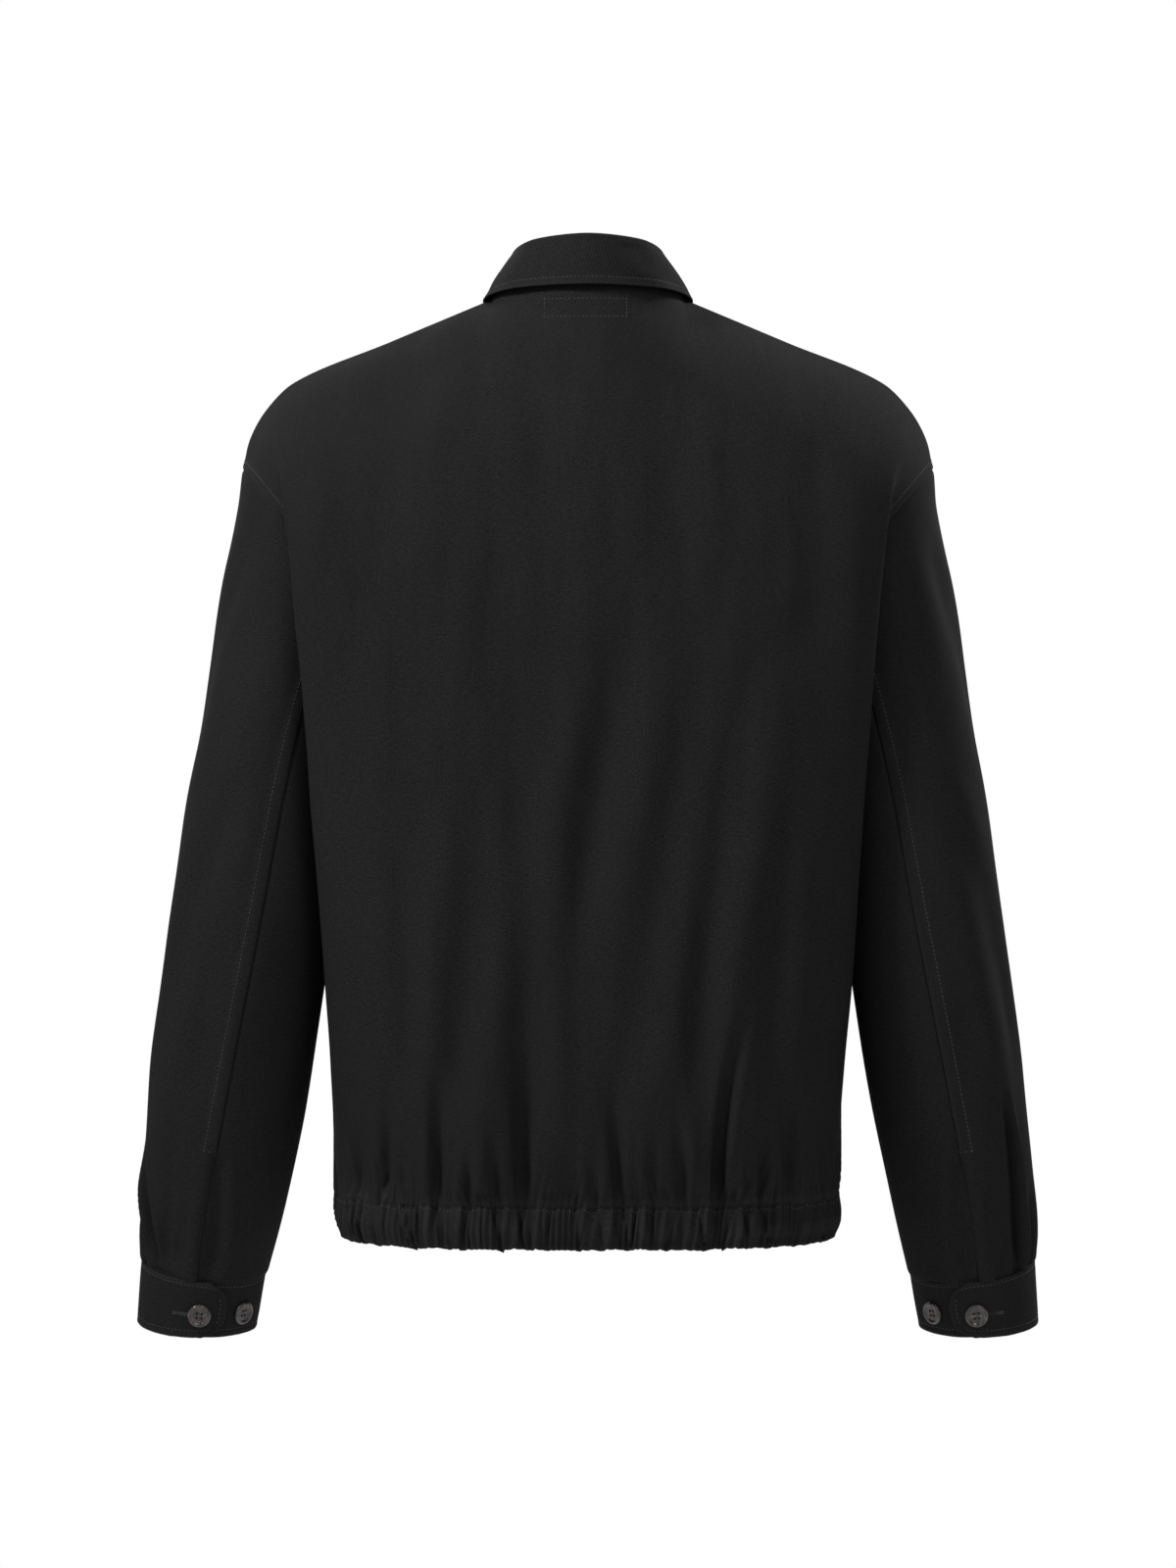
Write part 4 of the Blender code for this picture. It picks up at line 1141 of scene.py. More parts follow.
    def armhole(self, degrees: float) -> Point:
        """A point of the armhole seam: 0 is the armpit, 90 the back and 180 the shoulder."""
        low, high = np.array(self.armpit), np.array(self.shoulder_end)
        turn = radians(degrees)
        return tuple(
            (low + high) / 2 - (high - low) / 2 * cos(turn) + np.array(
                (0, self.armhole_depth * sin(turn), 0)
            )
        )

    @property
    def armhole_rows(self) -> int:
        """Mesh rows of the solids along half the armhole."""
        return sum(self.row_steps[4:])

    def half(self, sections: tuple[Section, ...]) -> Array:
        """Half a body panel; rows rise from the hem and columns run from the centre to the side.

        Args:
            sections: From the hem up.

        Returns:
            Its grid.
        """
        net = np.array([[s.centre, s.neck, s.blade, s.lip, s.turn, s.edge] for s in sections], float)
        net = curve_through(net, [n * self.fine for n in self.row_steps])
        count = self.armhole_rows * self.fine
        side = np.sign(net[0, 0, 1])
        net[len(net) - 1 - count :, 5] = [
            self.armhole(side * turn) for turn in np.linspace(0, 180, count + 1)
        ]
        lip, turn, edge = net[:, 3], net[:, 4], net[:, 5]
        t = (np.arange(1, 4) / 4)[:, None, None]
        bend = lip * (1 - t) ** 2 + 2 * turn * t * (1 - t) + edge * t * t
        points = np.concatenate([net[:, :4].swapaxes(0, 1), bend, edge[None]])
        to_lip = [n * self.fine for n in self.column_steps]
        round_lip = [self.turn_steps * self.fine // 4] * 4
        across = points[1:2] * BACKWARDS
        steps = to_lip[:1] + to_lip + round_lip
        smooth = curve_through(np.concatenate([across, points]), steps)[to_lip[0] :]
        corner = (np.arange(to_lip[0] + 1) / to_lip[0] * pi / 2)[:, None]
        neck = np.stack([
            points[0][:, 0] + (points[1][:, 0] - points[0][:, 0]) * np.sin(corner),
            points[1][:, 1] + (points[0][:, 1] - points[1][:, 1]) * np.cos(corner),
            points[1][:, 2] + (points[0][:, 2] - points[1][:, 2]) * np.cos(corner) ** 1.3,
        ], axis=-1)
        cornered = np.concatenate([neck, curve_through(points[1:], to_lip[1:] + round_lip)[1:]])
        height = np.arange(len(net)) / (len(net) - 1)
        share = smoothstep((height - self.neck_blend) / (1 - self.neck_blend))[:, None]
        return (smooth * (1 - share) + cornered * share).swapaxes(0, 1)

    def folded(self, grid: Array, folds: tuple[Fold, ...]) -> Array:
        """The panel with its main folds, which rise from the hem.

        Args:
            grid: The plain panel.
            folds: What is pressed into it.

        Returns:
            The folded grid.
        """
        depth = np.zeros(grid.shape[:2])
        for fold in folds:
            rise = np.clip((grid[..., 2] - self.hem_seam) / (fold.top_z - self.hem_seam), 0, 1)
            x = fold.x + (fold.top_x - fold.x) * rise
            across = (grid[..., 0] - x) / (fold.width * (0.75 + 0.9 * rise))
            swell = 0.45 + 0.55 * smoothstep(rise * 7)
            depth += fold.depth * np.exp(-(across**2)) * (1 - smoothstep(rise)) * swell
        columns = np.arange(grid.shape[1])
        from_edge = np.minimum(columns, columns[::-1]) / (2 * self.fine)
        return grid - normals_of(grid) * (depth * smoothstep(from_edge))[..., None]

    def cloth_panel(
        self, name: str, base: Array, creases: tuple[Crease, ...], gathers: Gathers, seed: int
    ) -> Panel:
        """A finely cut panel with its creases, seams and gathers.

        Args:
            name: The piece's name.
            base: The surface that the solid follows.
            creases: Its smaller creases.
            gathers: Those of its hem seam.
            seed: Its drape.

        Returns:
            The panel.
        """
        back = base.shape[1] > 200
        walked = lengths_of(base, 1).mean(axis=0)
        columns = places(walked, 0.0016 if back else 0.0021, 0.0010, (0.012 if back else 0.010, 0.012))
        rows = places(lengths_of(base[:, base.shape[1] // 2]), 0.0062, 0.0018, (0.028, 0.006))
        panel = Panel(name, resampled(base, rows, columns))
        across, along = panel.grid[..., 0], panel.grid[..., 2]
        calm = 0.35 + 0.65 * smoothstep(panel.from_edge(Edge.FIRST_ROW) / 0.020)
        for edge, reach in ((Edge.LAST_ROW, 0.030), (Edge.LAST_COLUMN, 0.014), (Edge.FIRST_COLUMN, 0.014)):
            calm = calm * smoothstep(panel.from_edge(edge) / reach)
        swell = drape(across, along, seed, 0.0013, 0.070, 0.60)
        swell = swell + drape(across, along, seed + 50, 0.0004, 0.026, 0.20)
        panel.lift(calm * (sum(crease.height(across, along) for crease in creases) + swell))
        panel.seam = panel.grid[0].copy()
        seam_at = lengths_of(panel.grid[0])
        above = panel.from_edge(Edge.FIRST_ROW)
        gathered = gathers.lift(np.broadcast_to(seam_at, above.shape), 0.0, above)
        panel.lift(gathered * (1.15 - 0.35 * np.exp(-above / 0.004)))
        # Painted light: the cloth is painted paler just above the hem seam, where it faces down into shade
        # over the band. The gathers' crests are painted paler as a highlight as well as for their rubbing.
        panel.paint_wear_and_light(0.40 * np.exp(-above / 0.012) + 1.3 * gathers.crest_wear_and_highlight(gathered))
        panel.ditch(Edge.FIRST_ROW, 0.0002, 0.0006)
        level = self.hem_seam + gathers.wander(seam_at)
        panel.grid[..., 2] += (level - panel.grid[0, :, 2]) * bell(above, 0.012)
        return panel

    def build(self, sewing: Sewing, gathers: dict[str, Gathers]) -> None:
        """Makes the three body pieces and their topstitching.

        Args:
            sewing: The threads.
            gathers: Those of the back and of the fronts.
        """
        share = 1 - sum(self.row_steps[4:]) / sum(self.row_steps)
        self.back_panel = self.cloth_panel("back_cloth", self.back, BACK_CREASES, gathers["back"], 11)
        self.front_panel = self.cloth_panel(
            "front_cloth_left", self.front, FRONT_CREASES, gathers["front"], 23
        )
        lines = []
        for panel, edges in (
            (self.back_panel, (Edge.FIRST_COLUMN, Edge.LAST_COLUMN)),
            (self.front_panel, (Edge.LAST_COLUMN,)),
        ):
            for edge in edges:
                first = int(share * len(panel.grid))
                panel.fell(edge, self.side_stitch, rows=slice(first, None))
                panel.ditch(edge)
                lines.append(panel.line(edge, self.side_stitch, first / len(panel.grid), 1.0, THREAD_LIFT))
            panel.ditch(Edge.LAST_ROW)
        self.front_panel.fell(Edge.FIRST_COLUMN, self.zip_stitch, 0.0007)
        zip_line = self.front_panel.line(Edge.FIRST_COLUMN, self.zip_stitch, 0, 1, THREAD_LIFT)
        right = self.front_panel.mirrored("front_cloth_right")
        shell(self.back_panel, self.cloth, TWILL, ["back"])
        shell(self.front_panel, self.cloth, TWILL, ["front_left"])
        shell(right, self.cloth, TWILL, ["front_right"])
        front_lines = [lines[2], zip_line]
        sewing.topstitch(
            "body_topstitching", lines[:2] + front_lines + flipped(front_lines) + self.label_lines()
        )

    def label_lines(self) -> list[Line]:
        """The plain stitched rectangle below the collar."""
        left, right, low, high = self.label
        corners = ((left, low), (right, low), (right, high), (left, high), (left, low))
        lines = []
        for start, end in zip(corners[:-1], corners[1:]):
            count = round(float(np.hypot(end[0] - start[0], end[1] - start[1])) / 0.002)
            lines.append(
                self.on_back(
                    [np.add(start, np.subtract(end, start) * t) for t in np.linspace(0, 1, count + 1)]
                )
            )
        return lines

    def on_back(self, targets: list[Array]) -> Line:
        """Points of the back at given places seen from behind.

        Args:
            targets: Each place's x and z.

        Returns:
            The points and outward directions.
        """
        grid, ups = self.back_panel.grid, normals_of(self.back_panel.grid)
        top = slice(len(grid) * 3 // 4, None)
        points, directions = [], []
        for x, z in targets:
            both = np.concatenate([grid, ups], axis=-1)[top]
            column = np.array([[np.interp(-x, -row[:, 0], row[:, k]) for k in range(6)] for row in both])
            found = np.array([np.interp(z, column[:, 2], column[:, k]) for k in range(6)])
            points.append(found[:3] + found[3:] * THREAD_LIFT)
            directions.append(unit(found[3:]))
        return np.array(points), np.array(directions)


BACK_FOLDS = (
    Fold(0.160, 0.166, -0.545, 0.011, 0.0052),
    Fold(0.138, 0.142, -0.520, 0.012, 0.0065),
    Fold(0.102, 0.104, -0.470, 0.012, 0.0059),
    Fold(0.045, 0.050, -0.430, 0.015, 0.0072),
    Fold(0.012, 0.016, -0.550, 0.011, 0.0039),
    Fold(-0.022, -0.012, -0.390, 0.017, 0.0072),
    Fold(-0.058, -0.050, -0.500, 0.012, 0.0046),
    Fold(-0.092, -0.080, -0.440, 0.011, 0.0084),
    Fold(-0.122, -0.118, -0.560, 0.010, 0.0046),
    Fold(-0.140, -0.138, -0.500, 0.013, 0.0065),
    Fold(-0.163, -0.168, -0.550, 0.010, 0.0046),
)
FRONT_FOLDS = (
    Fold(0.048, 0.050, -0.530, 0.012, 0.0046),
    Fold(0.076, 0.084, -0.450, 0.014, 0.0072),
    Fold(0.101, 0.104, -0.560, 0.011, 0.0046),
    Fold(0.127, 0.136, -0.500, 0.013, 0.0065),
    Fold(0.154, 0.160, -0.545, 0.011, 0.0052),
)
# Across is x and along is z, both in metres.
BACK_CREASES = (
    Crease((0.1224, -0.590), (0.1285, -0.335), 0.010, 0.0034, 0.002, (0.3, 0.6)),
    Crease((0.0940, -0.615), (0.0730, -0.235), 0.013, 0.0041, -0.004, (0.25, 0.6)),
    Crease((0.0419, -0.620), (0.0399, -0.370), 0.011, 0.0039, 0.0, (0.25, 0.6)),
    Crease((0.0190, -0.540), (-0.0370, -0.180), 0.014, 0.0041, 0.006, (0.4, 0.5)),
    Crease((-0.0034, -0.610), (-0.0590, -0.240), 0.013, -0.0031, 0.004, (0.3, 0.5)),
    Crease((-0.0660, -0.620), (-0.1160, -0.230), 0.012, 0.0039, 0.003, (0.25, 0.6)),
    Crease((-0.0865, -0.590), (-0.1372, -0.250), 0.012, -0.0024, 0.002, (0.3, 0.5)),
    Crease((-0.0899, -0.640), (-0.1130, -0.490), 0.0045, 0.0068, 0.006, (0.0, 0.6)),
    Crease((-0.1264, -0.600), (-0.1440, -0.290), 0.010, 0.0034, 0.002, (0.3, 0.6)),
    Crease((0.0683, -0.440), (0.0723, -0.185), 0.016, -0.0026, 0.003),
    Crease((0.0280, -0.500), (0.0120, -0.240), 0.014, -0.0022, 0.003),
    Crease((0.1050, -0.560), (0.1100, -0.380), 0.009, -0.0019, 0.0),
    Crease((0.1415, -0.640), (0.1400, -0.545), 0.0043, 0.0054, 0.0, (0.0, 0.8)),
    Crease((0.1620, -0.640), (0.1640, -0.585), 0.0038, 0.0049, 0.0, (0.0, 0.8)),
    Crease((0.1050, -0.640), (0.1030, -0.535), 0.0043, 0.0054, 0.0, (0.0, 0.8)),
    Crease((0.0840, -0.640), (0.0810, -0.590), 0.0038, 0.0043, 0.0, (0.0, 0.8)),
    Crease((0.0640, -0.640), (0.0670, -0.575), 0.0038, 0.0046, 0.0, (0.0, 0.8)),
    Crease((0.0462, -0.640), (0.0450, -0.520), 0.0051, 0.0062, 0.0, (0.0, 0.8)),
    Crease((-0.0040, -0.640), (-0.0010, -0.600), 0.0034, 0.0038, 0.0, (0.0, 0.8)),
    Crease((-0.0203, -0.640), (-0.0180, -0.550), 0.0043, 0.0057, 0.0, (0.0, 0.8)),
    Crease((-0.0420, -0.640), (-0.0450, -0.585), 0.0038, 0.0043, 0.0, (0.0, 0.8)),
    Crease((-0.0649, -0.640), (-0.0620, -0.560), 0.0047, 0.0049, 0.0, (0.0, 0.8)),
    Crease((-0.1090, -0.640), (-0.1140, -0.590), 0.0038, 0.0043, 0.0, (0.0, 0.8)),
    Crease((-0.1200, -0.640), (-0.1220, -0.575), 0.0038, 0.0054, 0.0, (0.0, 0.8)),
    Crease((-0.1400, -0.640), (-0.1380, -0.540), 0.0047, 0.0059, 0.0, (0.0, 0.8)),
    Crease((-0.1680, -0.640), (-0.1660, -0.590), 0.0038, 0.0049, 0.0, (0.0, 0.8)),
    Crease((0.175, -0.190), (0.105, -0.290), 0.016, 0.0015, 0.006),
    Crease((-0.178, -0.200), (-0.110, -0.310), 0.016, 0.0015, -0.006),
    Crease((0.060, -0.045), (0.150, -0.125), 0.018, -0.0014, 0.004),
    Crease((-0.060, -0.045), (-0.150, -0.130), 0.018, -0.0014, -0.004),
)
FRONT_CREASES = (
    Crease((0.050, -0.610), (0.060, -0.300), 0.012, 0.0050, 0.003, (0.2, 0.6)),
    Crease((0.092, -0.580), (0.106, -0.230), 0.013, 0.0052, -0.003, (0.25, 0.6)),
    Crease((0.128, -0.620), (0.138, -0.400), 0.010, 0.0046, 0.003, (0.2, 0.6)),
    Crease((0.072, -0.560), (0.082, -0.320), 0.012, -0.0030, 0.003),
    Crease((0.030, -0.640), (0.032, -0.570), 0.0043, 0.0049, 0.0, (0.0, 0.8)),
    Crease((0.062, -0.640), (0.060, -0.590), 0.0043, 0.0049, 0.0, (0.0, 0.8)),
    Crease((0.078, -0.640), (0.081, -0.555), 0.0043, 0.0057, 0.0, (0.0, 0.8)),
    Crease((0.100, -0.640), (0.103, -0.580), 0.0038, 0.0049, 0.0, (0.0, 0.8)),
    Crease((0.116, -0.640), (0.113, -0.550), 0.0047, 0.0057, 0.0, (0.0, 0.8)),
    Crease((0.142, -0.640), (0.146, -0.575), 0.0043, 0.0054, 0.0, (0.0, 0.8)),
    Crease((0.163, -0.640), (0.160, -0.590), 0.0038, 0.0049, 0.0, (0.0, 0.8)),
    Crease((0.170, -0.190), (0.090, -0.310), 0.016, 0.0036, 0.006),
    Crease((0.175, -0.240), (0.120, -0.370), 0.014, 0.0032, 0.005),
    Crease((0.060, -0.060), (0.150, -0.130), 0.018, -0.0022, 0.004),
)


# ---------------------------------------------------------------- sleeves
@dataclass(frozen=True)
class Ring:
    """A ring round the sleeve: its outermost and innermost points as x and z, and its depth."""

    outer: tuple[float, float]
    inner: tuple[float, float]
    y: float
    depth: float
    dip: float

    def points(self, angles: Array) -> Array:
        """Points round the ring; 0 faces the body, 90 the back and 180 outwards."""
        outer, inner = (np.array((p[0], self.y, p[1])) for p in (self.outer, self.inner))
        turn = np.radians(angles)[:, None]
        back = np.array((0, self.depth, -self.dip))
        return (outer + inner) / 2 - (outer - inner) / 2 * np.cos(turn) + back * np.sin(turn)


def rings_between(rings: tuple[Ring, ...], steps: list[int]) -> list[Ring]:
    """Rings along the smooth tube through `rings`."""
    rows = curve_through([(*r.outer, *r.inner, r.y, r.depth, r.dip) for r in rings], steps)
    return [Ring(tuple(row[:2]), tuple(row[2:4]), *row[4:]) for row in rows]


@dataclass(frozen=True)
class Pleat:
    """A dent that runs down the sleeve into the cuff: its angle, depth, width in degrees and start."""

    angle: float
    depth: float
    width: float
    start: float


@dataclass
class Sleeve:
    """A two-piece sleeve, its back seam felled and topstitched down to the cuff's vent."""

    body: Body
    cuff: "Cuff"
    rings: tuple[Ring, ...] = (
        Ring((0.2464, -0.1225), (0.1550, -0.225), 0.0, 0.0740, 0.0),
        Ring((0.2534, -0.1650), (0.1600, -0.246), 0.001, 0.0700, 0.0),
        Ring((0.2611, -0.2065), (0.1640, -0.273), 0.003, 0.0655, 0.0),
        Ring((0.2723, -0.2765), (0.1690, -0.315), 0.006, 0.0635, 0.0),
        Ring((0.2828, -0.3465), (0.1740, -0.368), 0.008, 0.0620, 0.0),
        Ring((0.2926, -0.4165), (0.1805, -0.436), 0.007, 0.0610, 0.001),
        Ring((0.3024, -0.4865), (0.1900, -0.506), 0.001, 0.0595, 0.002),
        Ring((0.3122, -0.5565), (0.2012, -0.574), -0.008, 0.0565, 0.004),
        Ring((0.3185, -0.6265), (0.2172, -0.643), -0.018, 0.0515, 0.006),
        Ring((0.3212, -0.6870), (0.2310, -0.6982), -0.0260, 0.0450, 0.008),
    )
    steps: tuple[int, ...] = (1, 1, 2, 2, 2, 2, 2, 2, 2)
    seam_column: int = 3
    back_seam_at_cuff: float = 92.0
    front_seam_at_cuff: float = 80.0
    pleats: tuple[Pleat, ...] = (
        Pleat(126.0, 0.0050, 9.0, 0.64), Pleat(106.0, 0.0028, 7.0, 0.84), Pleat(152.0, 0.0032, 10.0, 0.80)
    )
    seam_stitch: float = 0.0088
    puff: float = 0.0004  # how far the sleeve blouses over its cuff
    under_lap: float = 0.0024  # how much more where the cuff stands off over its own end
    step: float = 0.75  # from column to column, in cells of the tube
    samples: int = 400  # places at which a panel's width is measured
    vent: float = 0.80  # share of the sleeve's rows at which the back seam's stitching stops

    def angles(self, share: float) -> Array:
        """Where the columns stand round a ring, `share` of the way to the cuff."""
        rows = self.body.armhole_rows
        even = np.linspace(0, 360, 2 * rows * self.body.fine + 1)
        seam = self.seam_column * 180 / rows
        at_cuff = np.interp(
            even, [0, seam, 360 - seam, 360],
            [0, self.back_seam_at_cuff, 360 - self.front_seam_at_cuff, 360],
        )
        return even + (at_cuff - even) * (1 - (1 - share) ** 1.6)

    def tube(self) -> tuple[Array, Array, int]:
        """The whole sleeve and half of it again at either end.

        Returns:
            Its points, each point's angle in degrees, and half the number of columns round it.
        """
        rings = rings_between(self.rings, [n * self.body.fine for n in self.steps])
        rows, turns = [], []
        for share, ring in zip(np.linspace(0, 1, len(rings)), rings):
            angles = self.angles(share)
            points = ring.points(angles)
            inwards = unit(points[:-1].mean(axis=0) - points)
            for pleat in self.pleats:
                reach = smoothstep((share - pleat.start) / (1 - pleat.start)) * pleat.depth
                points += inwards * (reach * bell(angles - pleat.angle, pleat.width))[:, None]
            rows.append(points)
            turns.append(angles)
        points, turns = np.array(rows), np.array(turns)
        half = (points.shape[1] - 1) // 2
        wide = np.concatenate([points[:, half:-1], points, points[:, 1 : half + 1]], axis=1)
        turn = np.concatenate([turns[:, half:-1] - 360, turns, turns[:, 1 : half + 1] + 360], axis=1)
        return wide, turn, half

    def panels(self, side: Side) -> tuple[Panel, Panel]:
        """The top and the under panel of one sleeve, as on the wearer's left."""
        wide, turn, half = self.tube()
        down = lengths_of(wide[:, 2 * half])
        rows = places(down, 0.0036, 0.0020, (0.010, 0.030))
        wide = resampled(wide, rows, np.arange(0, wide.shape[1] - 0.99, self.step))
        turn = resampled(turn[..., None], rows, np.arange(0, turn.shape[1] - 0.99, self.step))[..., 0]
        along = np.interp(rows, np.arange(len(down)), down)[:, None] + np.zeros(turn.shape)
        radius = np.interp(along, [0, 0.2, 0.45, 0.58], [0.070, 0.061, 0.056, 0.045])
        heights = np.zeros(turn.shape)
        for shift in (-360, 0, 360):
            across = np.radians(turn + shift - 180) * radius
            inside = np.abs(turn + shift - 180) <= 200
            heights += sum(c.height(across, along) for c in SLEEVE_CREASES + UNEVEN_CREASES[side]) * inside
        loop = np.radians(turn)
        random = np.random.default_rng(31 if side is Side.LEFT else 57)
        for k in (2, 3, 5, 7):
            phase, tilt = random.uniform(0, 2 * pi), random.uniform(-9, 9)
            heights += 0.0022 / k * np.sin(
                k * loop + phase + tilt * along + np.sin(along * random.uniform(9, 22))
            )
        ends = smoothstep(along / 0.03) * (0.45 + 0.55 * smoothstep((down[-1] - along) / 0.02))
        whole = Panel("sleeve", wide)
        near_cuff = smoothstep(1 - (down[-1] - along) / 0.020)
        lapped = smoothstep((turn - 58) / 8) * (1 - smoothstep((turn - 108) / 60))
        whole.lift(heights * ends + near_cuff * (self.puff + self.under_lap * lapped))
        whole.ditch(Edge.LAST_ROW, 0.0009, 0.0017)
        whole.grid = np.concatenate([whole.grid, self.cuff.wall_at(turn[-1])[None]])
        seam = self.seam_column * self.body.fine
        first, last = (half + seam) / self.step, (half + 2 * half - seam) / self.step
        cuts = {"top": (first, last), "under": (last, first + 2 * half / self.step)}
        made = []
        for name, (start, stop) in cuts.items():
            walked = lengths_of(whole.grid[len(whole.grid) // 2])
            indices = np.arange(len(walked))
            at = np.linspace(*np.interp([start, stop], indices, walked), self.samples)
            spread = np.linspace(0, at[-1] - at[0], self.samples)
            between = places(spread, 0.0022 if name == "top" else 0.0028, 0.0012, (0.0144, 0.0072))
            columns = np.interp(np.interp(between, np.arange(self.samples), at), walked, indices)
            columns[0], columns[-1] = start, stop
            grid = resampled(whole.grid, np.arange(len(whole.grid)) * 1.0, columns)
            made.append(Panel(f"sleeve_{name}_cloth_{side.value}", grid))
        return made[0], made[1]

    def build(self, side: Side, sewing: Sewing) -> None:
        """Makes one sleeve.

        Args:
            side: Which sleeve.
            sewing: The threads.
        """
        top, under = self.panels(side)
        sewn = round(self.vent * len(top.grid))
        top.fell(Edge.FIRST_COLUMN, self.seam_stitch, 0.0007, slice(0, sewn))
        for panel in (top, under):
            for edge in (Edge.FIRST_COLUMN, Edge.LAST_COLUMN, Edge.FIRST_ROW):
                panel.ditch(edge)
        lines = [top.line(Edge.FIRST_COLUMN, self.seam_stitch, 0.02, self.vent, THREAD_LIFT)]
        tack = np.linspace(0.0006, self.seam_stitch, 6)
        both = [
            [part[-1] for part in top.line(Edge.FIRST_COLUMN, inside, 0.02, self.vent, THREAD_LIFT)]
            for inside in tack
        ]
        lines.append(tuple(np.array(part) for part in zip(*both)))
        name = side.value
        if side is Side.RIGHT:
            top, under = top.mirrored(top.name), under.mirrored(under.name)
        shell(top, self.body.cloth, TWILL, [f"sleeve_top_{name}"])
        shell(under, self.body.cloth, TWILL, [f"sleeve_under_{name}"])
        sewing.topstitch(f"sleeve_topstitching_{name}", lines if side is Side.LEFT else flipped(lines))


# Across is metres from the sleeve's outer line, less on the back and more on the front; along is metres
# from the armhole.
SLEEVE_CREASES = (
    Crease((-0.060, 0.020), (-0.030, 0.150), 0.014, 0.0030, 0.006),
    Crease((-0.020, 0.060), (0.010, 0.260), 0.018, 0.0030, -0.008),
    Crease((-0.085, 0.200), (-0.050, 0.330), 0.012, 0.0028, 0.006),
    Crease((-0.045, 0.250), (-0.020, 0.420), 0.014, 0.0030, -0.006),
    Crease((-0.0845, 0.474), (-0.0740, 0.580), 0.0060, 0.0038, -0.005, (0.15, 0.0)),
    Crease((-0.0690, 0.485), (-0.0610, 0.580), 0.0060, -0.0026, -0.003, (0.5, 0.0)),
    Crease((-0.0550, 0.530), (-0.0520, 0.580), 0.0040, 0.0026, 0.0, (0.7, 0.0)),
    Crease((0.010, 0.470), (0.004, 0.580), 0.008, 0.0034, 0.003, (0.7, 0.0)),
    Crease((0.100, 0.255), (0.045, 0.215), 0.010, 0.0034, 0.004),
    Crease((0.105, 0.285), (0.040, 0.275), 0.011, 0.0042, -0.003),
    Crease((0.100, 0.320), (0.050, 0.345), 0.010, 0.0034, -0.004),
    Crease((0.060, 0.100), (0.075, 0.230), 0.016, 0.0024, 0.005),
    Crease((0.060, 0.400), (0.050, 0.580), 0.010, 0.0036, 0.003, (0.6, 0.0)),
    Crease((0.090, 0.430), (0.078, 0.580), 0.009, 0.0034, -0.003, (0.6, 0.0)),
)
UNEVEN_CREASES = {
    Side.LEFT: (
        Crease((-0.0030, 0.480), (-0.0370, 0.584), 0.0038, 0.0072, -0.004, (0.35, 0.0)),
        Crease((0.0030, 0.492), (-0.0300, 0.584), 0.0034, -0.0018, -0.004, (0.35, 0.0)),
        Crease((0.0060, 0.505), (-0.0180, 0.582), 0.0050, 0.0036, -0.003, (0.6, 0.0)),
        Crease((-0.068, 0.330), (-0.075, 0.480), 0.010, 0.0026, 0.003),
        Crease((0.030, 0.120), (0.022, 0.300), 0.016, 0.0022, 0.005),
        Crease((-0.010, 0.340), (-0.002, 0.500), 0.014, -0.0022, 0.004),
    ),
    Side.RIGHT: (
        Crease((-0.0490, 0.430), (-0.0370, 0.584), 0.0038, 0.0072, 0.002, (0.30, 0.0)),
        Crease((-0.0420, 0.450), (-0.0300, 0.584), 0.0034, -0.0018, 0.002, (0.35, 0.0)),
        Crease((-0.0200, 0.500), (-0.0190, 0.582), 0.0060, 0.0034, 0.002, (0.6, 0.0)),
        Crease((-0.030, 0.330), (-0.028, 0.470), 0.011, 0.0026, 0.004),
        Crease((0.020, 0.060), (0.034, 0.250), 0.015, 0.0022, -0.005),
        Crease((-0.072, 0.340), (-0.066, 0.460), 0.010, 0.0026, -0.003, (0.5, 0.5)),
    ),
}


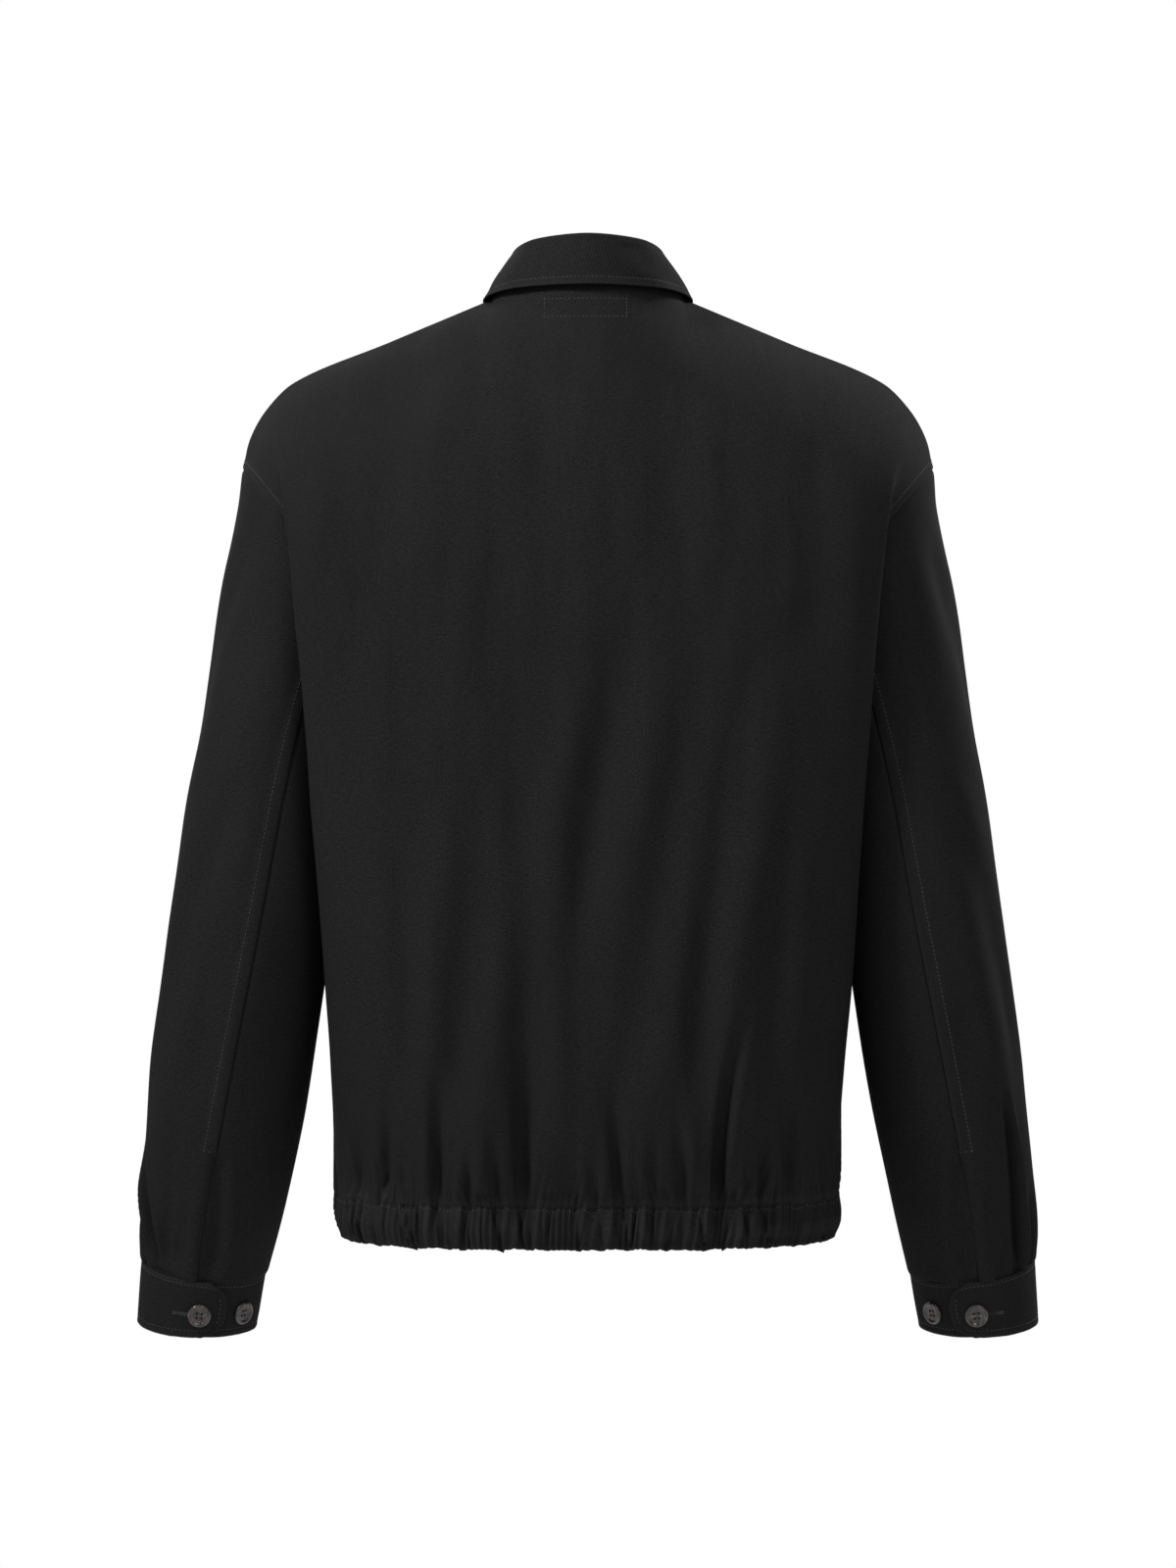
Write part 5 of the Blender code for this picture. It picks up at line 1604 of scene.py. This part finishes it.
# ---------------------------------------------------------------- cuffs and buttons
@dataclass
class Button:
    """A turned four-hole button with a raised rim, and the thread that holds it."""

    radius: float = 0.0083
    height: float = 0.0028
    dish: float = 0.0012  # how far the middle lies below the rim
    hole: float = 0.00095
    hole_at: float = 0.0016  # from the middle, along either way
    steps: int = 48

    def __post_init__(self) -> None:
        """Makes the button's mesh once, its back at the origin and its face towards +Z."""
        r, h = self.radius, self.height
        profile = (
            (0, 0), (0.82 * r, 0), (0.95 * r, 0.2 * h), (r, 0.5 * h), (0.985 * r, 0.72 * h),
            (0.93 * r, 0.9 * h), (0.86 * r, h), (0.79 * r, 0.97 * h), (0.72 * r, 0.85 * h),
            (0.66 * r, h - 0.8 * self.dish), (0.58 * r, h - self.dish), (0, h - self.dish),
        )
        body = self.turned("button_blank", profile, self.steps, (0, 0))
        drill = ((0, -0.001), (self.hole, -0.001), (self.hole, h + 0.001), (0, h + 0.001))
        for x in (-self.hole_at, self.hole_at):
            for y in (-self.hole_at, self.hole_at):
                cutter = self.turned("drill", drill, 14, (x, y))
                modifier = body.modifiers.new("hole", "BOOLEAN")
                modifier.operation, modifier.object = "DIFFERENCE", cutter
        bpy.context.scene.collection.objects.link(body)
        graph = bpy.context.evaluated_depsgraph_get()
        made = bpy.data.meshes.new_from_object(body.evaluated_get(graph))
        bpy.data.objects.remove(body)
        self.points = np.array([vertex.co for vertex in made.vertices])
        self.faces = [tuple(face.vertices) for face in made.polygons]

    def turned(
        self, name: str, profile: tuple[tuple[float, float], ...], steps: int, middle: tuple[float, float]
    ) -> bpy.types.Object:
        """A solid turned from its profile of radii and heights, round a middle."""
        bm = bmesh.new()
        line = [bm.verts.new((radius, 0, height)) for radius, height in profile]
        edges = [bm.edges.new(pair) for pair in zip(line[:-1], line[1:])]
        bmesh.ops.spin(bm, geom=line + edges, cent=(0, 0, 0), axis=(0, 0, 1), angle=2 * pi, steps=steps)
        bmesh.ops.remove_doubles(bm, verts=bm.verts, dist=1e-6)
        bmesh.ops.recalc_face_normals(bm, faces=bm.faces)
        bmesh.ops.translate(bm, verts=bm.verts, vec=(*middle, 0))
        mesh = bpy.data.meshes.new(name)
        bm.to_mesh(mesh)
        bm.free()
        return bpy.data.objects.new(name, mesh)

    def place(self, name: str, seat_at: Array, axes: Array) -> bpy.types.Object:
        """Sews the button on.

        Args:
            name: The piece's name.
            seat_at: Where its back rests.
            axes: Its own three directions as rows.

        Returns:
            The button.
        """
        faces = self.faces if np.linalg.det(axes) > 0 else [face[::-1] for face in self.faces]
        mesh = bpy.data.meshes.new(name)
        mesh.from_pydata((seat_at + self.points @ axes).tolist(), [], faces)
        mesh.shade_smooth()
        mesh.set_sharp_from_angle(angle=radians(48))
        mesh.materials.append(HORN.material())
        return seat(shown(name, mesh), [name.replace("resin_button", "cuff_button")])

    def threads(self, seat_at: Array, axes: Array) -> list[Line]:
        """Where its threads cross from hole to hole."""
        lines = []
        for y in (-self.hole_at, self.hole_at):
            for shift in (-0.00015, 0.00015):
                ends = np.linspace(-self.hole_at, self.hole_at, 7)
                arch = 0.0004 - 0.0011 * (np.abs(ends) / self.hole_at) ** 6
                points = np.stack([ends, np.full(7, y + shift), self.height - self.dish + arch], axis=-1)
                lines.append((seat_at + points @ axes, np.broadcast_to(axes[2], (7, 3))))
        return lines


@dataclass
class Cuff:
    """A wrapped cuff: its rounded end laps over, with one button through the lap and one below it."""

    button: Button
    top: Ring = Ring((0.3213, -0.6873), (0.2320, -0.6985), -0.0262, 0.0446, 0.008)
    foot: Ring = Ring((0.3245, -0.7325), (0.2385, -0.7365), -0.0315, 0.0432, 0.0055)
    cloth: float = 0.0018
    gap: float = 0.0003
    flap_start: float = 62.0  # where the rounded end lies, in degrees round the wrist
    turn: float = 404.0  # how far round the band goes
    lap: float = 46.0  # how far it lies on itself
    settles: float = 60.0  # how far on it comes back to its ring
    corner: float = 0.40  # the rounded corners' height, as a share of the cuff's
    round_off: float = 24.0  # and their width in degrees
    sewn_in: float = 0.03  # how deep the sleeve's end is sewn in, as a share of the cuff's height
    lap_button: float = 86.0
    under_button: float = 42.0
    button_height: float = 0.58
    rows: int = 26
    columns: int = 190
    edge_stitch: float = 0.0050
    top_stitch: float = 0.0022
    hole_from: float = 0.0068  # the buttonhole, from the middle of its button
    hole_to: float = 0.0185

    def point(self, angle: float, down: float, lift: float = 0.0) -> Array:
        """A point of the outer face with its outward and downward directions.

        Args:
            angle: Round the cuff, in degrees.
            down: Share of the cuff's height.
            lift: Outwards from its ring.

        Returns:
            Three rows: the point and both directions.
        """
        at = np.array([angle, angle + 1.0])
        high, low = self.top.points(at), self.foot.points(at)
        ring = high * (1 - down) + low * down
        drop = unit(low[0] - high[0])
        outwards = unit(np.cross(unit(ring[1] - ring[0]), drop))
        return np.array([ring[0] + outwards * lift, outwards, drop])

    def lift(self, angle: float) -> float:
        """How far the cuff stands off its ring, so that its lap clears the layer below."""
        return (self.cloth + 2 * self.gap) * (
            1 - float(smoothstep((angle - self.flap_start - self.lap) / self.settles))
        )

    def wall_at(self, turns: Array) -> Array:
        """Points inside the cuff's wall just below its top edge, where the sleeve's end is sewn in.

        Args:
            turns: Angles round the cuff, in degrees.

        Returns:
            One point for each angle.
        """
        angles = self.flap_start + (turns - self.flap_start) % 360
        lapped = smoothstep((angles - self.flap_start - self.round_off) / 10)
        lifts = [self.lift(angle) * share - self.cloth / 2 for angle, share in zip(angles, lapped)]
        return np.array([self.point(angle, self.sewn_in, lift)[0] for angle, lift in zip(angles, lifts)])

    def off_corner(self, angles: Array) -> Array:
        """How high the rounded corner's arc stands at angles near the lap's end, from 0 to 1."""
        return (1 - np.clip((self.flap_start + self.round_off - angles) / self.round_off, 0, 1) ** 2) ** 0.5

    def panel(self, side: Side) -> Panel:
        """The cuff's outer face, its columns from the rounded end of the lap round to the end below it."""
        far, half_turn = self.flap_start + self.turn, 1 - 0.5**0.5
        share = np.linspace(0, 1, self.rows)[:, None]
        down = self.corner * half_turn * (1 - share) + (1 - self.corner * half_turn) * share
        bend = np.maximum(np.abs(2 * down - 1) - (1 - 2 * self.corner), 0) / (2 * self.corner)
        start = self.flap_start + self.round_off * (1 - (1 - bend**2) ** 0.5)
        angles = start + (far - start) * np.linspace(0, 1, self.columns) ** 1.08
        high, low = (self.corner * (1 - self.off_corner(angles[k])) for k in (0, -1))
        downs = high * (1 - share) + (1 - low) * share
        rows = [[self.point(a, d, self.lift(a))[0] for a, d in zip(*row)] for row in zip(angles, downs)]
        panel = Panel(f"cuff_cloth_{side.value}", np.array(rows))
        across, along = panel.from_edge(Edge.FIRST_COLUMN), panel.from_edge(Edge.FIRST_ROW)
        inside = smoothstep(across / 0.02) * smoothstep(panel.from_edge(Edge.LAST_COLUMN) / 0.02)
        panel.lift(0.0003 * inside * drape(across, along, 71 + len(side.value), 1.0, 0.030, 0.12))
        return panel

    def frame_at(self, angle: float, stacked: bool) -> tuple[Array, Array]:
        """Where a button sits and its own directions."""
        point, outwards, drop = self.point(
            angle, self.button_height, self.gap + (self.lift(angle) if stacked else 0.0)
        )
        return point, np.array([np.cross(drop, outwards), drop, outwards])

    def build(self, side: Side, sewing: Sewing) -> None:
        """Makes one cuff with its stitching, buttonhole and buttons.

        Args:
            side: Which cuff.
            sewing: The threads.
        """
        panel = self.panel(side)
        for edge in Edge:
            away = panel.from_edge(edge)
            panel.paint_wear_and_light(0.3 * bell(away, 0.0018))
            if edge is not Edge.LAST_COLUMN:
                inside = self.top_stitch if edge is Edge.FIRST_ROW else self.edge_stitch
                panel.lift(-STITCH_PULL * bell(away - inside, STITCH_REACH))
        lines = [
            panel.line(Edge.FIRST_ROW, self.top_stitch, 0.03, 1.0, THREAD_LIFT),
            panel.line(Edge.LAST_ROW, self.edge_stitch, 0.035, 1.0, THREAD_LIFT),
            panel.line(Edge.FIRST_COLUMN, self.edge_stitch, 0.28, 0.72, THREAD_LIFT),
        ]
        holes, slits = self.buttonhole()
        mirror = flipped if side is Side.RIGHT else list
        name = side.value
        shell(
            panel.mirrored(panel.name) if side is Side.RIGHT else panel, self.cloth, TWILL,
            [f"cuff_{name}"],
        )
        sewing.topstitch(f"cuff_topstitching_{name}", mirror(lines))
        sewing.rows.along(f"buttonhole_bars_{name}", mirror(holes), sewing.bar, 0.00055, THREAD, uneven=0.05)
        # Painted shade along the buttonhole's slit.
        sewing.rows.along(f"buttonhole_slit_{name}", mirror(slits), sewing.slit, 0.0008, SLIT_SHADE, uneven=0.0)
        threads = []
        for layer, angle, stacked in (("lap", self.lap_button, True), ("under", self.under_button, False)):
            point, axes = self.frame_at(angle, stacked)
            flip = BACKWARDS if side is Side.RIGHT else 1.0
            self.button.place(f"resin_button_{layer}_{name}", point * flip, axes * flip)
            threads += self.button.threads(point * flip, axes * flip)
        sewing.rows.along(f"button_threads_{name}", threads, sewing.strand, 0.0006, THREAD, uneven=0.0)

    def buttonhole(self) -> tuple[list[Line], list[Line]]:
        """Where the buttonhole's stitches and its slit run."""
        width = self.point(self.lap_button, 0.5)[0] - self.point(self.lap_button + 1, 0.5)[0]
        per_degree = float(np.linalg.norm(width))
        angles = self.lap_button + np.linspace(self.hole_from, self.hole_to, 24) / per_degree
        sides = {-1: [], 0: [], 1: []}
        for which, line in sides.items():
            for angle in angles:
                point, outwards, drop = self.point(angle, self.button_height, self.lift(angle))
                line.append((point + drop * which * 0.00065 + outwards * THREAD_LIFT, outwards))
        made = {which: tuple(np.array(part) for part in zip(*line)) for which, line in sides.items()}
        return [made[-1], made[1]], [made[0]]


# ---------------------------------------------------------------- hem band
@dataclass
class HemBand:
    """The elasticated hem: a folded casing whose gathers run on from the body above it."""

    top_z: float = -0.6396  # its upper edge covers the body's
    low_z: float = -0.6685
    tuck: float = 0.985
    swell: float = 0.0012
    cloth: float = 0.0022
    rows: int = 20
    stitch: float = 0.0024
    scallop: float = 0.0016
    wear: float = 0.30  # the band is paler than the body all over
    over: float = 0.0005

    def panel(self, name: str, seam: Array, gathers: Gathers) -> Panel:
        """One piece of the band; its rows rise from the folded edge to the seam.

        Args:
            name: The piece's name.
            seam: The hem seam before it is gathered.
            gathers: Its gathers.

        Returns:
            The panel.
        """
        walked = lengths_of(seam)
        along = np.linspace(0, walked[-1], round(walked[-1] / 0.0009))
        top = np.stack([np.interp(along, walked, seam[:, k]) for k in range(3)], axis=-1)
        outwards = unit(np.cross(np.gradient(top, axis=0), (0.0, 0.0, 1.0)))
        grid, crests = [], []
        for height in (1 - np.cos(np.linspace(0, pi, self.rows))) / 2:
            girth = self.tuck + (1 - self.tuck) * smoothstep(2 * height)
            lift = gathers.lift(along, 1 - height)
            row = top * (girth, girth, 1)
            row[:, 2] = self.low_z + (self.top_z - self.low_z) * height
            dip = (1 - height) ** 2 * self.scallop * lift / gathers.depth
            row[:, 2] += dip + height**2 * gathers.wander(along)
            share = 0.80 + 0.40 * sin(pi * min(1.0, 0.15 + height))
            over = self.over * smoothstep((height - 0.7) / 0.3)
            grid.append(row + outwards * (self.swell * sin(pi * height) + share * lift + over)[:, None])
            # The band is painted paler all over, and the gathers' crests paler still: rubbing and a painted
            # highlight.
            crests.append(self.wear + (1 - self.wear) * gathers.crest_wear_and_highlight(lift))
        panel = Panel(name, np.array(grid))
        panel.paint_wear_and_light(np.array(crests))
        return panel

    def build(self, body: Body, gathers: dict[str, Gathers], sewing: Sewing) -> None:
        """Makes the three pieces.

        Args:
            body: Whose hem seams they hang from.
            gathers: Those of the back and of the fronts.
            sewing: The threads.
        """
        back = self.panel("hem_band_cloth_back", body.back_panel.seam, gathers["back"])
        front = self.panel("hem_band_cloth_front_left", body.front_panel.seam, gathers["front"])
        lines = []
        for panel in (back, front):
            away = panel.from_edge(Edge.LAST_ROW)
            panel.lift(-0.0004 * bell(away - self.stitch, 0.0010))
            panel.ditch(Edge.LAST_ROW, 0.0002, 0.0006)
            panel.ditch(Edge.LAST_COLUMN)
            lines.append(panel.line(Edge.LAST_ROW, self.stitch))
        back.ditch(Edge.FIRST_COLUMN)
        shell(back, self.cloth, TWILL, ["hem_band_back"])
        shell(front, self.cloth, TWILL, ["hem_band_front_left"])
        shell(front.mirrored("hem_band_cloth_front_right"), self.cloth, TWILL, ["hem_band_front_right"])
        sewing.topstitch("hem_topstitching", lines + flipped(lines[1:]))


# ---------------------------------------------------------------- collar
@dataclass(frozen=True)
class CollarSection:
    """The collar at one place along the neck seam: a share from the back to the front."""

    share: float
    roll: Point
    edge: Point


@dataclass
class Collar:
    """A shirt collar: its stand rises inside the neck, rolls over and falls."""

    sections: tuple[CollarSection, ...] = (
        CollarSection(0.00, (0.0000, 0.0665, 0.0400), (0.0000, 0.0765, 0.0037)),
        CollarSection(0.23, (0.0400, 0.0460, 0.0370), (0.0545, 0.0540, 0.0025)),
        CollarSection(0.47, (0.0525, -0.0040, 0.0315), (0.0752, -0.0060, -0.0010)),
        CollarSection(0.74, (0.0430, -0.0555, -0.0060), (0.0725, -0.0760, -0.0440)),
        CollarSection(1.00, (0.0080, -0.0765, -0.0290), (0.0480, -0.0985, -0.0850)),
    )
    steps: int = 32
    roll_half: float = 0.0026
    rise: float = -0.0014  # its foot goes down past the neck seam, as its turnings do
    bow: float = 0.0006
    bulge: float = 0.0012
    cloth: float = 0.0015
    stitch: float = 0.0048

    def build(self, body: Body, sewing: Sewing) -> None:
        """Makes the collar on the neck seam, with topstitching round the fall.

        Args:
            body: Whose neck seam it is sewn to.
            sewing: The threads.
        """
        columns = body.column_steps[0] * body.fine
        centre = body.back.shape[1] // 2
        seam = np.concatenate(
            [body.back[-1, centre - columns : centre + 1][::-1], body.front[-1, :columns][::-1]]
        )
        walked = lengths_of(seam)
        left = [(s.share, *s.roll, *s.edge) for s in self.sections]
        right = [(-share, -x, y, z, -ex, ey, ez) for share, x, y, z, ex, ey, ez in left[:0:-1]]
        net = curve_through(right + left, [self.steps] * 8)
        at = np.abs(net[:, 0]) * walked[-1]
        base = np.stack([np.interp(at, walked, seam[:, k]) for k in range(3)], axis=-1)
        base[:, 0] *= np.sign(net[:, 0])
        roll, edge = net[:, 1:4], net[:, 4:7]
        outwards = unit(np.cross((0.0, 0.0, 1.0), np.gradient(roll, axis=0)))
        up = np.array((0.0, 0.0, 1.0))
        foot = base - outwards * self.cloth / 2 + up * self.rise
        inside = roll - (outwards + up) * self.roll_half
        outside = roll + (outwards - up) * self.roll_half
        rows = [
            foot * (1 - t) + inside * t - outwards * self.bow * sin(pi * t)
            for t in np.linspace(0, 1, 14)[:-1]
        ]
        rows += [
            roll - up * self.roll_half + (up * sin(t) - outwards * cos(t)) * self.roll_half
            for t in np.linspace(0, pi, 11)[:-1]
        ]
        self.fall_from = len(rows)
        rows += [
            outside + (edge - outside) * t + outwards * self.bulge * sin(pi * min(1, t * 1.02))
            for t in 1 - (1 - np.linspace(0, 1, 26)) ** 1.25
        ]
        panel = Panel("collar_cloth", relaxed(np.array(rows), 3))
        down = panel.from_edge(Edge.LAST_ROW)
        across = panel.from_edge(Edge.FIRST_COLUMN)
        on_fall = (np.arange(len(rows)) > self.fall_from + 2)[:, None]
        panel.lift(on_fall * smoothstep(down / 0.01) * 0.0004 * drape(across, down, 91, 1.0, 0.050, 0.09))
        for edge in (Edge.LAST_ROW, Edge.FIRST_COLUMN, Edge.LAST_COLUMN):
            away = panel.from_edge(edge)
            panel.lift(on_fall * -STITCH_PULL * bell(away - self.stitch, STITCH_REACH))
            panel.paint_wear_and_light(on_fall * (0.35 * bell(away, 0.0016) + 0.15 * bell(away - self.stitch, 0.002)))
        start = (self.fall_from + 6) / len(rows)
        lines = [panel.line(Edge.LAST_ROW, self.stitch, 0.012, 0.988, THREAD_LIFT)]
        for edge in (Edge.FIRST_COLUMN, Edge.LAST_COLUMN):
            lines.append(panel.line(edge, self.stitch, start, 0.84, THREAD_LIFT))
        shell(panel, self.cloth, TWILL, ["collar_stand", "collar_fall"])
        sewing.topstitch("collar_topstitching", lines)


# ---------------------------------------------------------------- zip
@dataclass
class Zip:
    """The closed zip: its tapes and teeth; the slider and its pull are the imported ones."""

    body: Body
    band: HemBand
    gap: float = 0.0003
    tape: float = 0.0008  # how thick it is
    sink: float = 0.0012  # how much deeper its sewn edge lies
    into: float = 0.6  # how far it reaches under the front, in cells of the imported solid
    near: float = 0.0006  # half the gap between the tapes
    parts: float = 0.0014  # how much more above the slider
    chain: float = 0.0030  # how wide the teeth are
    height: float = 0.0024  # and how high
    top_z: float = -0.0560
    slider_z: float = -0.0660
    slider_half: float = 0.0055
    pitch: float = 0.0023
    overlap: float = 0.0011  # how far one side's teeth reach between the other's

    def places(self, heights: Array, into: float) -> tuple[Array, Array]:
        """Places on the front's edge.

        Args:
            heights: Where, as z.
            into: How far into the front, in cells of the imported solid.

        Returns:
            The places and the directions out of the cloth.
        """
        cells = self.body.front[:: self.body.fine, :: self.body.fine]
        directions = normals_of(cells)
        low, band, hem = self.band.low_z, self.band, []
        for z, push, girth in ((low, 0.0, band.tuck), ((low + self.body.hem_seam) / 2, band.swell, 1.0)):
            hem.append([(x, y * girth - push, z) for x, y, _ in (cells[0, 0], cells[0, 1])])
        points = np.concatenate([hem, cells[:, :2]])
        directions = np.concatenate([np.broadcast_to((0.0, -1.0, 0.0), (2, 2, 3)), directions[:, :2]])
        directions[2] = unit(directions[2] + directions[1])
        both = np.concatenate([points, directions], axis=-1)
        both = both[:, 0] * (1 - into) + both[:, 1] * into
        found = np.stack([np.interp(heights, points[:, 0, 2], both[:, k]) for k in range(6)], axis=-1)
        return found[:, :3], unit(found[:, 3:])

    def build(self, sewing: Sewing) -> None:
        """Makes the tapes and the teeth, and finishes the slider and its pull.

        Args:
            sewing: The threads and the rows along lines.
        """
        heights = np.linspace(self.band.low_z + 0.001, self.top_z, 150)
        opening = self.near + self.parts * smoothstep((heights - self.slider_z + 0.002) / self.slider_half)
        depth = self.gap + self.body.cloth + self.tape / 2
        on_band = smoothstep((self.body.hem_seam + 0.018 - heights) / 0.012)
        depth = depth + (self.band.cloth - self.body.cloth) * on_band
        columns = []
        for share in np.linspace(0, 1, 9):
            place, out = self.places(heights, self.into * max(0.0, (share - 0.5) * 2))
            if share <= 0.5:
                edge = opening + 0.0008
                place[:, 0] = edge + (self.body.front_open - edge) * share * 2
                out = unit(out * (0, 1, 1))
            sink = self.sink * float(smoothstep((share - 0.5) * 2))
            columns.append(place - out * (depth - self.tape / 2 + sink)[:, None])
        left = Panel("zip_tape_cloth_left", np.array(columns).swapaxes(0, 1))
        right = left.mirrored("zip_tape_cloth_right")
        for panel, name in ((left, "zip_tape_left"), (right, "zip_tape_right")):
            shell(panel, self.tape, TAPE, [name])
        tooth = self.tooth()
        middle, out = self.places(heights, 0.0)
        out = unit(out * (0, 1, 1))
        middle = middle - out * depth[:, None]
        middle[:, 0] = opening + self.chain / 2 - self.overlap
        line = slice(1, np.searchsorted(heights, self.top_z - 0.003))
        for side, flip in ((Side.LEFT, 1.0), (Side.RIGHT, BACKWARDS)):
            start = middle[line] + (0.0, 0.0, self.pitch / 2 if side is Side.RIGHT else 0.0)
            sewing.rows.along(
                f"zip_teeth_{side.value}", [(start * flip, out[line])], tooth, self.pitch, METAL, Slot.METAL,
                uneven=0.0,
            )
        for node, body in (("zip_slider", JACKET), ("zip_pull", PULL)):
            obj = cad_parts[node]
            obj.data.materials.clear()
            obj.data.materials.append(METAL.material())
            log.info("%s: the packed solid, on %s", node, body)

    def tooth(self) -> bpy.types.Object:
        """The pattern of one tooth, its length across the chain along Y, waisted and with eased edges."""
        wide, thick, high = self.chain / 2 + 0.0005, 0.00055, self.height / 2
        stations = ((-1.0, 0.7), (-0.55, 1.0), (0.1, 0.75), (0.6, 1.0), (1.0, 0.65))
        points, faces = [], []
        for y, size in stations:
            for x, z in (
                (-1, -0.7), (-1, 0.7), (-0.6, 1), (0.6, 1), (1, 0.7), (1, -0.7), (0.6, -1), (-0.6, -1)
            ):
                points.append((x * thick * size, y * wide, z * high * (0.6 + 0.4 * size)))
        for ring in range(len(stations) - 1):
            for k in range(8):
                a, b = ring * 8 + k, ring * 8 + (k + 1) % 8
                faces.append((a, b, b + 8, a + 8))
        faces += [tuple(range(8))[::-1], tuple(range(len(points) - 8, len(points)))]
        return pattern_of("zip_tooth", points, faces)


# ---------------------------------------------------------------- floor, light and camera
@dataclass
class Studio:
    """A pale floor, softboxes, a white room and the camera behind the jacket."""

    camera_at: Point = (0.0, 3.5, -0.3465)
    lens: float = 112.5
    floor_z: float = -1.45  # where a wearer's feet would be
    floor_half: float = 2.4
    dim: float = 0.10  # the room above and below, against its horizon
    above: tuple[float, float] = (0.17, 0.32)  # the heights, as sines, over which it grows dim
    below: tuple[float, float] = (-0.36, -0.28)
    grid: float = 60.0  # degrees that the softboxes' grids let through, so that light falls off to the hem
    aim: float = -0.20

    def build(self) -> None:
        """Makes the floor, the lights, the white room and the camera."""
        self.floor()
        lights = (
            ("key_back", (1.75, 1.15, 1.45), 0.7, 10.5),
            ("fill_back", (-0.95, 1.9, 1.5), 1.2, 3.2),
            ("top", (0.0, 0.0, 2.2), 1.4, 0.7),
            ("key_front", (-1.75, -1.25, 1.3), 0.7, 9.0),
            ("fill_front", (0.95, -2.1, 1.3), 1.2, 3.2),
        )
        for name, at, size, power in lights:
            self.softbox(name, at, size, power)
        scene = bpy.context.scene
        scene.world = self.room()
        scene.view_settings.view_transform = "Standard"
        data = bpy.data.cameras.new("camera")
        data.lens = self.lens
        camera = shown("camera", data)
        camera.location = self.camera_at
        camera.rotation_euler = (radians(90), 0, radians(180))
        scene.camera = camera

    def room(self) -> bpy.types.World:
        """A white room that is brightest around the horizon and dimmer above and below."""
        world = bpy.data.worlds.new("white_room")
        world.use_nodes = True
        tree = world.node_tree
        shine = tree.nodes["Background"]
        shine.inputs["Color"].default_value = linear("#ffffff")
        way = add_node(tree, "ShaderNodeTexCoord", None, "Generated")
        height = add_node(tree, "ShaderNodeSeparateXYZ", {0: way}, "Z")
        bounds = []
        for low, high, start, stop in ((*self.above, 1.0, self.dim), (*self.below, self.dim, 1.0)):
            fade = {0: height, 1: low, 2: high, 3: start, 4: stop}
            bounds.append(add_node(tree, RANGE, fade, 0, interpolation_type="SMOOTHSTEP"))
        add_node(tree, MATH, dict(enumerate(bounds)), 0, shine.inputs["Strength"], operation="MINIMUM")
        return world

    def floor(self) -> None:
        """A pale floor."""
        mesh = bpy.data.meshes.new("floor")
        bm = bmesh.new()
        bmesh.ops.create_grid(bm, x_segments=1, y_segments=1, size=self.floor_half)
        bm.to_mesh(mesh)
        bm.free()
        mesh.materials.append(LitPaper("translucent_paper_lit_from_below", "#f4f4f4", 0.9).material())
        obj = shown("floor", mesh)
        obj.location = (0, 0, self.floor_z)

    def softbox(self, name: str, at: Point, size: float, power: float) -> None:
        """A square area light with a grid, which faces the jacket's chest.

        Args:
            name: Its name.
            at: Its place.
            size: Its side in metres.
            power: In watts.
        """
        data = bpy.data.lights.new(name, "AREA")
        data.size = size
        data.energy = power
        data.spread = radians(self.grid)
        lamp = shown(name, data)
        lamp.location = at
        way = np.subtract((0.0, 0.0, self.aim), at)
        flat = float(np.hypot(way[0], way[1]))
        tilt, turn = float(np.arctan2(flat, -way[2])), float(np.arctan2(way[1], way[0])) - pi / 2
        lamp.rotation_euler = (tilt, 0.0, turn)


def main() -> None:
    """Builds the jacket in order and lights it."""
    logging.basicConfig(level=logging.INFO, format="%(message)s")
    rows = RowTree()
    sewing = Sewing(rows)
    body = Body()
    gathers = {
        "back": Gathers(0.0, float(lengths_of(body.back[0])[-1]), 38, 3),
        "front": Gathers(0.062, float(lengths_of(body.front[0])[-1]), 15, 5),
    }
    body.build(sewing, gathers)
    band = HemBand()
    band.build(body, gathers, sewing)
    Collar().build(body, sewing)
    Zip(body, band).build(sewing)
    cuff = Cuff(Button())
    sleeve = Sleeve(body, cuff)
    for side in Side:
        sleeve.build(side, sewing)
        cuff.build(side, sewing)
    Studio().build()


if __name__ == "__main__":
    main()
